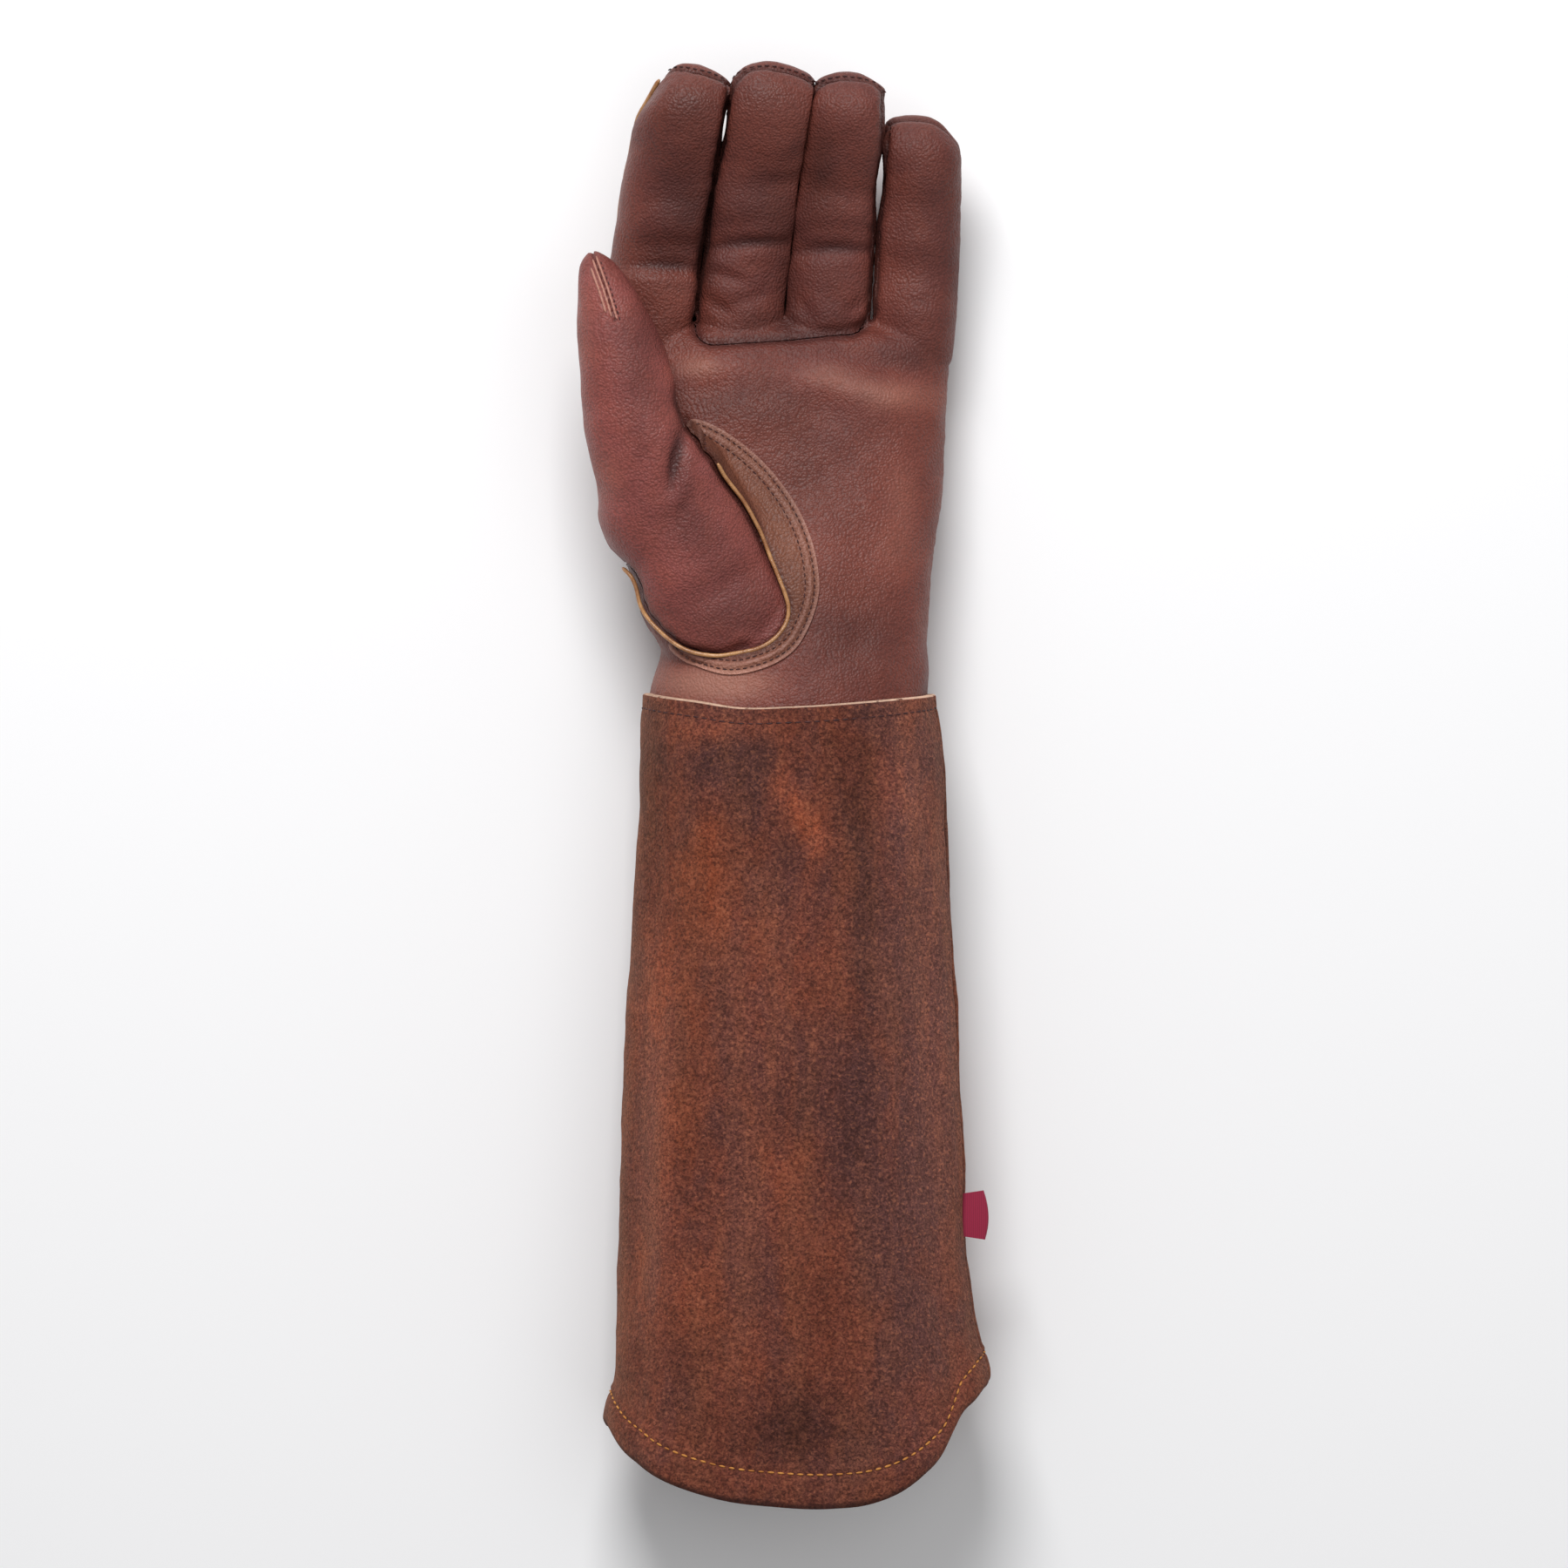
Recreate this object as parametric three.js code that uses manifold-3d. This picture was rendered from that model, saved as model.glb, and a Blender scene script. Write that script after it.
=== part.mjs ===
// A long rose pruning gauntlet for the left hand, lying on its back with the palm up and the fingers
// half curled. The hand is a hollow shell of thin grain leather: a palm piece that runs on into the
// index and little fingers, one piece for the fronts of the middle and ring fingers, a back piece,
// three folded fourchettes between the fingers and a thumb set into an oval hole. A reinforcement
// patch and two round piped welts are sewn along the seams. The gauntlet is two panels of split suede,
// lapped over the wrist, with a turned hem and a folded ribbon tab in the outer seam.
// Millimetres. While it is built, X runs from the thumb side to the little finger side, Y runs from
// the gauntlet's upper edge (Y = 0) to the fingertips, and Z runs up from the surface it lies on.
import * as THREE from "three";
import { mergeVertices } from "three/addons/utils/BufferGeometryUtils.js";
import Module from "manifold-3d";

const wasm = await Module();
wasm.setup();

// Leathers and seams
const gloveLeather = 1.3;
const cuffSuede = 1.7;
const patchLeather = 1.1;
const seamGap = 0.3;
const tuckGap = 0.7;
const weltRadius = 0.9;

// Hand: from the gauntlet's edge to the crotches of the fingers, across the knuckles, and back to palm
const handLength = 120;
const handWidth = 108;
const handDepth = 44;
const wristTuck = 15;
const elasticPlace = 38;
const elasticWidth = 8;
const gatherSpread = 20;
const elasticPinch = 2.4;
const gatherDepth = 1.1;
const gatherPitch = 11;
const palmHollow = 4;

// Fingers
const fingerLength = 100;
const fingerWidth = 28;
const fingerDepth = 27;
const fingerSpacing = 28;
const fourchetteWidth = 11;

// Thumb: its length over the hand from its base inside it, its width and its depth
const thumbLength = 131;
const thumbWidth = 31;
const thumbDepth = 30;
const thumbBase = { x: -20, y: 12, z: 24 };

// Reinforcement patch round the thumb
const patchWidth = 13;
const patchSide = 38;
const patchTop = 88;
const patchShift = { x: 1.5, y: 3.5 };

// Gauntlet
const cuffLength = 256;
const cuffTopWidth = 93.4;
const cuffTopDepth = 62;
const hemWidth = 123;
const hemDepth = 78;
const hemTurn = 13;
const hemRiseRadial = 29;
const hemRiseUlnar = 39;
const edgeArch = 3;
const restSink = 2;

// Ribbon tab in the outer seam
const tabHeight = 14;
const tabReach = 8;
const tabRibbon = 0.5;
const tabPlace = 160;

// How finely the walls are faceted
const handSides = 32;
const fingerSides = 10;
const thumbSides = 14;
const weltSides = 5;
const cuffColumns = 17;

// Sections of the hand without its thumb. along is a share of handLength from the gauntlet's edge, radial
// and ulnar are shares of handWidth on the thumb side and the little finger side of the centre line, and
// back and palm are heights as shares of handDepth. seam is how far the seam on the thumb side lies
// round towards the back, as a share of the section's half depth.
const handSections = [
  { along: 0.08, radial: 0.402, ulnar: 0.415, back: 0.07, palm: 1.3, seam: 0.63 },
  { along: 0.16, radial: 0.392, ulnar: 0.411, back: 0.09, palm: 1.24, seam: 0.7 },
  { along: 0.24, radial: 0.4, ulnar: 0.414, back: 0.12, palm: 1.2, seam: 0.74 },
  { along: 0.32, radial: 0.415, ulnar: 0.422, back: 0.14, palm: 1.18, seam: 0.74 },
  { along: 0.42, radial: 0.43, ulnar: 0.431, back: 0.08, palm: 1.15, seam: 0.7 },
  { along: 0.54, radial: 0.455, ulnar: 0.448, back: -0.02, palm: 1.1, seam: 0.62 },
  { along: 0.66, radial: 0.485, ulnar: 0.459, back: -0.045, palm: 1.05, seam: 0.56 },
  { along: 0.78, radial: 0.505, ulnar: 0.468, back: -0.045, palm: 1.01, seam: 0.52 },
  { along: 0.88, radial: 0.517, ulnar: 0.476, back: -0.01, palm: 0.93, seam: 0.52 },
  { along: 0.95, radial: 0.518, ulnar: 0.482, back: 0.05, palm: 0.85, seam: 0.55 },
  { along: 1, radial: 0.505, ulnar: 0.475, back: 0.13, palm: 0.77, seam: 0.58 },
];

// The four fingers. root and tip are the middle of the finger across the hand, in finger spacings from
// the centre line, reach is how far it runs past its root and rise how far its tip curls up, as shares of
// fingerLength, and the widths and depth are shares of fingerWidth and fingerDepth.
const fingers = [
  { name: "index", root: -1.6, tip: -1.1, reach: 0.93, rise: 0.3, rootWidth: 1.09, tipWidth: 1.07,
    depth: 1.04 },
  { name: "middle", root: -0.585, tip: -0.15, reach: 0.93, rise: 0.32, rootWidth: 0.95, tipWidth: 0.97,
    depth: 1 },
  { name: "ring", root: 0.43, tip: 0.73, reach: 0.895, rise: 0.3, rootWidth: 0.96, tipWidth: 0.93,
    depth: 0.97 },
  { name: "little", root: 1.44, tip: 1.53, reach: 0.775, rise: 0.16, rootWidth: 0.94, tipWidth: 0.91,
    depth: 0.9 },
];
const fingerRoot = { along: 0.9, height: 0.45 };
const fingerLean = 1.5;

// How a finger swells and creases from its root to its tip. width is a share of the finger's own width,
// and front and back are shares of its half depth on the palm side and on the back.
const fingerSections = [
  { along: 0, width: 0.87, front: 0.92, back: 0.86 },
  { along: 0.22, width: 0.99, front: 1.08, back: 1.0 },
  { along: 0.41, width: 0.99, front: 0.95, back: 1.0 },
  { along: 0.54, width: 1.0, front: 1.05, back: 0.99 },
  { along: 0.66, width: 0.99, front: 0.95, back: 0.97 },
  { along: 0.84, width: 0.98, front: 0.98, back: 0.93 },
  { along: 0.94, width: 0.82, front: 0.8, back: 0.78 },
  { along: 1, width: 0.42, front: 0.38, back: 0.36 },
];

// The thumb from inside its base to its tip. aside, ahead and up are offsets from thumbBase away from the
// palm, towards the fingers and up, as shares of thumbLength, and width and depth are shares of
// thumbWidth and thumbDepth.
const thumbSections = [
  { aside: -0.03, ahead: 0.015, up: 0, width: 0.9, depth: 0.93 },
  { aside: -0.012, ahead: 0.092, up: 0.064, width: 1.44, depth: 1.43 },
  { aside: 0.045, ahead: 0.198, up: 0.092, width: 1.55, depth: 1.47 },
  { aside: 0.105, ahead: 0.32, up: 0.137, width: 1.57, depth: 1.4 },
  { aside: 0.16, ahead: 0.443, up: 0.19, width: 1.29, depth: 1.2 },
  { aside: 0.214, ahead: 0.55, up: 0.229, width: 1.07, depth: 1.07 },
  { aside: 0.24, ahead: 0.656, up: 0.244, width: 0.99, depth: 1 },
  { aside: 0.256, ahead: 0.748, up: 0.252, width: 0.9, depth: 0.93 },
  { aside: 0.279, ahead: 0.84, up: 0.256, width: 0.74, depth: 0.83 },
  { aside: 0.305, ahead: 0.924, up: 0.256, width: 0.5, depth: 0.63 },
  { aside: 0.32, ahead: 0.973, up: 0.256, width: 0.29, depth: 0.37 },
  { aside: 0.324, ahead: 0.992, up: 0.256, width: 0.1, depth: 0.13 },
];

// Sections of the gauntlet. along is a share of cuffLength from its upper edge. radial and ulnar say how
// far the half widths have grown from the upper edge's to the hem's on each side, and depth the same for
// its depth.
const cuffSections = [
  { along: -0.03, radial: 0, ulnar: 0, depth: 0 },
  { along: 0, radial: 0, ulnar: 0, depth: 0 },
  { along: 0.05, radial: 0.05, ulnar: 0.11, depth: 0.1 },
  { along: 0.2, radial: 0.12, ulnar: 0.27, depth: 0.28 },
  { along: 0.38, radial: 0.34, ulnar: 0.45, depth: 0.46 },
  { along: 0.56, radial: 0.49, ulnar: 0.6, depth: 0.6 },
  { along: 0.7, radial: 0.56, ulnar: 0.71, depth: 0.7 },
  { along: 0.76, radial: 0.57, ulnar: 0.83, depth: 0.76 },
  { along: 0.82, radial: 0.6, ulnar: 1.08, depth: 0.84 },
  { along: 0.87, radial: 0.72, ulnar: 1.25, depth: 0.92 },
  { along: 0.93, radial: 0.92, ulnar: 1.22, depth: 0.98 },
  { along: 1.04, radial: 1, ulnar: 1.12, depth: 1.02 },
];

// Soft lengthwise folds of the gauntlet. angle is their place round it in degrees, from the little finger
// side over the palm, width their spread in degrees, depth a share of cuffTopDepth, and from and to the
// shares of cuffLength that they run between.
const cuffFolds = [
  { angle: 62, width: 16, depth: 0.035, from: 0.07, to: 0.9 },
  { angle: 96, width: 18, depth: -0.03, from: 0.1, to: 1 },
  { angle: 128, width: 13, depth: 0.022, from: 0.3, to: 1.1 },
  { angle: 152, width: 14, depth: -0.03, from: 0.08, to: 0.7 },
  { angle: 36, width: 14, depth: -0.026, from: 0.2, to: 1 },
  { angle: 214, width: 14, depth: -0.028, from: 0.1, to: 0.9 },
  { angle: 322, width: 16, depth: -0.028, from: 0.15, to: 1 },
];

// A value from a table's column at a place along it, on a smooth curve through the rows.
function column(rows, name, at) {
  const last = rows.length - 1;
  const row = (i) => rows[THREE.MathUtils.clamp(i, 0, last)];
  let i = rows.findIndex((r) => r.along > at) - 1;
  if (i === -2) i = last - 1;
  i = THREE.MathUtils.clamp(i, 0, last - 1);
  const span = row(i + 1).along - row(i).along;
  const t = THREE.MathUtils.clamp((at - row(i).along) / span, 0, 1);
  const slope = (k) => {
    const before = row(k - 1);
    const after = row(k + 1);
    return ((after[name] - before[name]) / (after.along - before.along)) * span;
  };
  const [p, q] = [row(i)[name], row(i + 1)[name]];
  const square = t * t;
  const cube = square * t;
  return (2 * cube - 3 * square + 1) * p + (cube - 2 * square + t) * slope(i)
    + (3 * square - 2 * cube) * q + (cube - square) * slope(i + 1);
}

// 1 at zero, falling smoothly to nothing a few widths away.
const bump = (distance, width) => Math.exp(-((distance / width) ** 2));
const lerp = THREE.MathUtils.lerp;
const radians = THREE.MathUtils.degToRad;

// A geometry from points and triangles, turned so that its faces point outwards.
function closedGeometry(points, triangles) {
  let volume = 0;
  const edge = new THREE.Vector3();
  for (const [a, b, c] of triangles) volume += points[a].dot(edge.crossVectors(points[b], points[c]));
  const index = triangles.flatMap(([a, b, c]) => (volume < 0 ? [a, c, b] : [a, b, c]));
  const geometry = new THREE.BufferGeometry().setFromPoints(points);
  return geometry.setIndex(index);
}

// A body lofted through rings of points, with flat ends.
function loft(rings) {
  const sides = rings[0].length;
  const points = rings.flat();
  const triangles = [];
  for (let r = 0; r + 1 < rings.length; r++) {
    for (let s = 0; s < sides; s++) {
      const [a, b] = [r * sides + s, r * sides + ((s + 1) % sides)];
      triangles.push([a, b + sides, b], [a, a + sides, b + sides]);
    }
  }
  for (const [ring, turned] of [[0, false], [rings.length - 1, true]]) {
    const middle = new THREE.Vector3();
    rings[ring].forEach((p) => middle.addScaledVector(p, 1 / sides));
    points.push(middle);
    for (let s = 0; s < sides; s++) {
      const [a, b] = [ring * sides + s, ring * sides + ((s + 1) % sides)];
      triangles.push(turned ? [a, points.length - 1, b] : [a, b, points.length - 1]);
    }
  }
  return closedGeometry(points, triangles);
}

// A sheet of leather between an outer and an inner grid of points.
function sheet(outer, inner) {
  const [rows, columns] = [outer.length, outer[0].length];
  const points = [...outer.flat(), ...inner.flat()];
  const at = (i, j, side) => side * rows * columns + i * columns + j;
  const triangles = [];
  const quad = (a, b, c, d) => triangles.push([a, b, c], [a, c, d]);
  for (let i = 0; i + 1 < rows; i++) {
    for (let j = 0; j + 1 < columns; j++) {
      quad(at(i, j, 0), at(i + 1, j, 0), at(i + 1, j + 1, 0), at(i, j + 1, 0));
      quad(at(i, j, 1), at(i, j + 1, 1), at(i + 1, j + 1, 1), at(i + 1, j, 1));
    }
  }
  for (let i = 0; i + 1 < rows; i++) {
    quad(at(i, 0, 0), at(i, 0, 1), at(i + 1, 0, 1), at(i + 1, 0, 0));
    const end = columns - 1;
    quad(at(i, end, 0), at(i + 1, end, 0), at(i + 1, end, 1), at(i, end, 1));
  }
  for (let j = 0; j + 1 < columns; j++) {
    quad(at(0, j, 0), at(0, j + 1, 0), at(0, j + 1, 1), at(0, j, 1));
    quad(at(rows - 1, j, 0), at(rows - 1, j, 1), at(rows - 1, j + 1, 1), at(rows - 1, j + 1, 0));
  }
  return closedGeometry(points, triangles);
}

// A round welt that follows a run of points, with flat ends.
function welt(path) {
  const curve = new THREE.CatmullRomCurve3(path);
  const steps = path.length - 1;
  const { normals, binormals } = curve.computeFrenetFrames(steps, false);
  return loft(path.map((_, i) => Array.from({ length: weltSides }, (__, s) => {
    const turn = (2 * Math.PI * s) / weltSides;
    return curve.getPointAt(i / steps)
      .addScaledVector(normals[i], weltRadius * Math.cos(turn))
      .addScaledVector(binormals[i], weltRadius * Math.sin(turn));
  })));
}

// Booleans
function solid(geometry) {
  const bare = new THREE.BufferGeometry().setAttribute("position", geometry.getAttribute("position"));
  bare.setIndex(geometry.index);
  const merged = mergeVertices(bare, 1e-4);
  return new wasm.Manifold(new wasm.Mesh({
    numProp: 3,
    vertProperties: merged.attributes.position.array,
    triVerts: new Uint32Array(merged.index.array),
  }));
}

function geometryOf(body) {
  const mesh = body.getMesh();
  return new THREE.BufferGeometry()
    .setAttribute("position", new THREE.BufferAttribute(new Float32Array(mesh.vertProperties), 3))
    .setIndex(new THREE.BufferAttribute(new Uint32Array(mesh.triVerts), 1));
}

const joined = (bodies) => bodies.reduce((all, body) => all.add(body));
// The largest part of a cut piece, without the off-cuts.
function mainPart(body) {
  return body.decompose().reduce((best, part) => (part.volume() > best.volume() ? part : best));
}
const boxBetween = (low, high) => {
  const size = new THREE.Vector3().subVectors(high, low);
  const box = new THREE.BoxGeometry(size.x, size.y, size.z);
  return solid(box.translate((low.x + high.x) / 2, (low.y + high.y) / 2, (low.z + high.z) / 2));
};

// A point on a round section, slightly squarer than an ellipse.
const squareness = 2.25;
function sectionPoint(angle) {
  const power = 2 / squareness;
  const [c, s] = [Math.cos(angle), Math.sin(angle)];
  return [Math.sign(c) * Math.abs(c) ** power, Math.sign(s) * Math.abs(s) ** power];
}

// The gauntlet's outer wall at a height along it, without its folds.
function cuffSection(y) {
  const along = -y / cuffLength;
  const grown = (name, top, hem) => lerp(top, hem, column(cuffSections, name, along));
  const depth = grown("depth", cuffTopDepth, hemDepth) + restSink;
  return {
    left: -grown("radial", cuffTopWidth, hemWidth) / 2,
    right: grown("ulnar", cuffTopWidth, hemWidth) / 2,
    low: -restSink,
    high: depth - restSink,
  };
}

// A point on a section, moved in by inset, and kept off the surface that the glove lies on by that much.
function onSection(section, y, angle, inset) {
  const [u, w] = sectionPoint(angle);
  const halfWidth = (section.right - section.left) / 2 - inset;
  const halfDepth = (section.high - section.low) / 2 - inset;
  return new THREE.Vector3(
    (section.left + section.right) / 2 + halfWidth * u,
    y,
    Math.max((section.low + section.high) / 2 + halfDepth * w, Math.max(inset, 0)),
  );
}

// The hand without its thumb
function handSection(y) {
  const along = y / handLength;
  const entry = handSections[0].along;
  const at = Math.max(along, entry);
  const section = {
    left: -column(handSections, "radial", at) * handWidth,
    right: column(handSections, "ulnar", at) * handWidth,
    low: column(handSections, "back", at) * handDepth,
    high: column(handSections, "palm", at) * handDepth,
  };
  const tucked = cuffSection(0);
  const clear = cuffSuede + tuckGap;
  const inCuff = {
    left: tucked.left + clear,
    right: tucked.right - clear,
    low: tucked.low + clear,
    high: tucked.high - clear,
  };
  const blend = THREE.MathUtils.smoothstep(along, 0, entry);
  for (const side of Object.keys(section)) section[side] = lerp(inCuff[side], section[side], blend);
  return section;
}

// How far the elastic draws the back of the wrist in, and the gathers that it leaves.
function gather(x, y) {
  const near = bump(y - elasticPlace, elasticWidth);
  const drawn = bump(y - elasticPlace, gatherSpread);
  return elasticPinch * near + gatherDepth * drawn * Math.cos((2 * Math.PI * x) / gatherPitch);
}

function handPoint(angle, y, inset) {
  const section = handSection(y);
  const point = onSection(section, y, angle, inset);
  const share = y / handLength;
  if (share > 0.08 && share < 0.55) {
    const back = Math.max(0, -Math.sin(angle)) ** 0.5;
    point.z += back * gather(point.x, y);
  }
  const palm = Math.max(0, Math.sin(angle)) ** 2;
  const hollow = bump(point.x - 0.06 * handWidth, 0.2 * handWidth) * bump(share - 0.62, 0.24);
  point.z -= palm * palmHollow * hollow;
  const lying = Math.max(inset, share < 0 ? inset + cuffSuede + tuckGap : 0);
  point.z = Math.max(point.z, lying);
  return point;
}

const handStations = [-wristTuck, -0.5, ...handSections.map((row) => row.along * handLength)];
function handBody(inset, first, last) {
  const stations = handStations.map((y) => y);
  stations[0] += first;
  stations[stations.length - 1] += last;
  return solid(loft(stations.map((y) => Array.from({ length: handSides }, (_, s) =>
    handPoint((2 * Math.PI * s) / handSides, y, inset)))));
}

// Where the seam between palm and back runs on each side of the hand.
function seamHeight(y, side) {
  const section = handSection(y);
  const middle = (section.low + section.high) / 2;
  const half = (section.high - section.low) / 2;
  const seam = column(handSections, "seam", Math.max(y / handLength, handSections[0].along));
  return side === "radial" ? middle - seam * half : middle;
}

// A finger as frames along its middle: a centre, the directions across, out of the palm and along, and
// half sizes across, to the front and to the back.
function fingerFrames(finger) {
  const rootY = fingerRoot.along * handLength;
  const rootZ = fingerRoot.height * handDepth;
  const middle = (s) => new THREE.Vector3(
    lerp(finger.root, finger.tip, s ** fingerLean) * fingerSpacing,
    rootY + finger.reach * fingerLength * s,
    rootZ + finger.rise * fingerLength * s ** 1.9,
  );
  return fingerSections.map(({ along, width, front, back }) => {
    const ahead = middle(along + 0.01).sub(middle(along - 0.01 * (along > 0.01))).normalize();
    const across = new THREE.Vector3(1, 0, 0).addScaledVector(ahead, -ahead.x).normalize();
    const out = new THREE.Vector3().crossVectors(across, ahead);
    const size = lerp(finger.rootWidth, finger.tipWidth, Math.min(1, along / 0.75));
    return {
      centre: middle(along),
      across,
      out,
      ahead,
      half: (size * width * fingerWidth) / 2,
      front: (finger.depth * front * fingerDepth) / 2,
      back: (finger.depth * back * fingerDepth) / 2,
    };
  });
}

function framePoint(frame, u, w) {
  return frame.centre.clone().addScaledVector(frame.across, u).addScaledVector(frame.out, w);
}

function tubeRing(frame, sides, inset) {
  return Array.from({ length: sides }, (_, s) => {
    const [u, w] = sectionPoint((2 * Math.PI * s) / sides);
    const depth = w > 0 ? frame.front : frame.back;
    return framePoint(frame, u * Math.max(frame.half - inset, 0.3), w * Math.max(depth - inset, 0.3));
  });
}

// A tube through its frames. Its last frame is drawn back by as much as its wall is inset.
function tube(frames, sides, inset) {
  const last = frames.length - 1;
  const shown = frames.map((frame, i) => (i < last - 1 ? frame
    : { ...frame, centre: frame.centre.clone().addScaledVector(frame.ahead, -inset) }));
  return solid(loft(shown.map((frame) => tubeRing(frame, sides, inset))));
}

// Everything in a finger's frames between two heights out of the palm, from one side to the other. The
// heights are functions of the frame, at its left and its right.
function slab(frames, left, right, lowLeft, lowRight, high) {
  const last = frames[frames.length - 1];
  const beyond = { ...last, centre: last.centre.clone().addScaledVector(last.ahead, 4) };
  const rings = [...frames, beyond].map((frame) => [
    framePoint(frame, left(frame), lowLeft(frame)),
    framePoint(frame, right(frame), lowRight(frame)),
    framePoint(frame, right(frame), high(frame)),
    framePoint(frame, left(frame), high(frame)),
  ]);
  return solid(loft(rings));
}

// The hand's shell
const frames = fingers.map(fingerFrames);
const overhang = 6;
const outside = joined([handBody(0, 0, 0), ...frames.map((f) => tube(f, fingerSides, 0))]);
const inside = joined([
  handBody(gloveLeather, -overhang, -gloveLeather),
  ...frames.map((f) => tube(f, fingerSides, gloveLeather)),
]);
const handShell = outside.subtract(inside);

// The side strip of a finger that a fourchette covers, on its left (-1) or its right (1).
function sideStrip(f, side, margin) {
  const beyond = 3;
  const width = (frame) => (fourchetteWidth / 2) * lerp(1, 0.45, (f.indexOf(frame) + 1) / f.length || 0.45);
  const inner = (frame) => side * Math.min(0.35, frame.half / 4) - margin * side;
  const outer = (frame) => side * (frame.half + beyond);
  const [left, right] = side > 0 ? [inner, outer] : [outer, inner];
  const low = (frame) => -width(frame) - margin;
  return slab(f, left, right, low, low, (frame) => width(frame) + margin);
}

const gaps = [[0, 1], [1, 2], [2, 3]];
const half = seamGap / 2;
const strips = (margin) => gaps.map(([a, b]) =>
  sideStrip(frames[a], 1, margin).add(sideStrip(frames[b], -1, margin)));
const fourchetteBodies = strips(-half).map((strip) => mainPart(handShell.intersect(strip)));
const withoutFourchettes = handShell.subtract(joined(strips(half)));

// Everything on the palm side of the seam that runs round the hand.
function palmSide(shift) {
  const far = 200;
  const reach = handWidth;
  const rings = handStations.map((y) => {
    const stretched = y < 0 ? y - overhang : y;
    return [
      new THREE.Vector3(-reach, stretched, seamHeight(y, "radial") + shift),
      new THREE.Vector3(reach, stretched, seamHeight(y, "ulnar") + shift),
      new THREE.Vector3(reach, stretched, far),
      new THREE.Vector3(-reach, stretched, far),
    ];
  });
  const seamShare = column(handSections, "seam", 1);
  const fingerSlabs = frames.map((f, i) => slab(
    f,
    (frame) => -frame.half - half,
    (frame) => frame.half + half,
    (frame) => (i === 0 ? -seamShare * frame.back : 0) + shift,
    () => shift,
    () => fingerDepth,
  ));
  return joined([solid(loft(rings)), ...fingerSlabs]);
}

// The fronts of the middle and ring fingers, down to the seam across their roots.
function middleFronts(margin) {
  const low = 0.965 * handLength - margin;
  const tubes = [1, 2].map((i) => tube(frames[i], fingerSides, -0.1 - margin));
  const between = (a, b, sideA) => frames[a][1].centre.x + sideA * (frames[a][1].half + half) - b * margin;
  const band = boxBetween(
    new THREE.Vector3(between(1, 1, -1), low, handDepth * 0.4),
    new THREE.Vector3(between(2, -1, 1), handLength + 1 + margin, handDepth * 1.5),
  );
  const ahead = boxBetween(
    new THREE.Vector3(-handWidth, low, -handDepth),
    new THREE.Vector3(handWidth, handLength + 2 * fingerLength, 4 * handDepth),
  );
  return joined([...tubes, band]).intersect(ahead);
}

const palmHalf = withoutFourchettes.intersect(palmSide(half));
const backHalf = withoutFourchettes.subtract(palmSide(-half));
const frontsBody = mainPart(palmHalf.intersect(middleFronts(0)));
const palmWithThumbPlace = palmHalf.subtract(middleFronts(seamGap));

// The thumb, which stands on the palm's leather over a hole of its own inner outline
function thumbFrames(shift) {
  const centres = thumbSections.map((row) => new THREE.Vector3(
    thumbBase.x - row.aside * thumbLength + shift.x,
    thumbBase.y + row.ahead * thumbLength + shift.y,
    thumbBase.z + row.up * thumbLength,
  ));
  const last = centres.length - 1;
  return thumbSections.map((row, i) => {
    const from = centres[Math.max(i - 1, 0)];
    const ahead = centres[Math.min(i + 1, last)].clone().sub(from).normalize();
    const across = new THREE.Vector3(ahead.y, -ahead.x, 0).normalize();
    return {
      centre: centres[i],
      across,
      ahead,
      out: new THREE.Vector3().crossVectors(across, ahead),
      half: (row.width * thumbWidth) / 2,
      front: (row.depth * thumbDepth) / 2,
      back: (row.depth * thumbDepth) / 2,
    };
  });
}
const thumb = thumbFrames({ x: 0, y: 0 });
const thumbInside = tube(thumb, thumbSides, gloveLeather);
const thumbBody = mainPart(
  tube(thumb, thumbSides, 0).subtract(thumbInside).subtract(handBody(-seamGap, 0, 0)),
);
const palmBody = mainPart(palmWithThumbPlace.subtract(thumbInside));
const backBody = mainPart(backHalf);

// How far out a point lies: 1 on the hand's outer wall once that has been moved out by grown.
function handLevel(point, grown) {
  const section = handSection(point.y);
  const middleX = (section.left + section.right) / 2;
  const middleZ = (section.low + section.high) / 2;
  const u = (point.x - middleX) / (section.right - middleX + grown);
  const w = (point.z - middleZ) / (section.high - middleZ + grown);
  return (Math.abs(u) ** squareness + Math.abs(w) ** squareness) ** (1 / squareness);
}

// The line round the thumb's base from its crotch to its outer side, at a distance from thumb and palm.
const weltFrom = radians(-95);
const weltTo = radians(178);
function thumbSeam(steps, distance) {
  return Array.from({ length: steps + 1 }, (_, s) => {
    const [u, w] = sectionPoint(lerp(weltFrom, weltTo, s / steps));
    const wall = (t) => {
      const i = Math.min(Math.floor(t), thumb.length - 2);
      const grown = (frame) => framePoint(frame, u * (frame.half + distance), w * (frame.front + distance));
      return grown(thumb[i]).lerp(grown(thumb[i + 1]), t - i);
    };
    let [low, high] = [0, 6.5];
    for (let k = 0; k < 30; k++) {
      const t = (low + high) / 2;
      if (handLevel(wall(t), distance) < 1) low = t;
      else high = t;
    }
    return wall(low);
  });
}

const weltStandOff = weltRadius + seamGap + 0.35;
const thumbWelt = welt(thumbSeam(28, weltStandOff));

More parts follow.
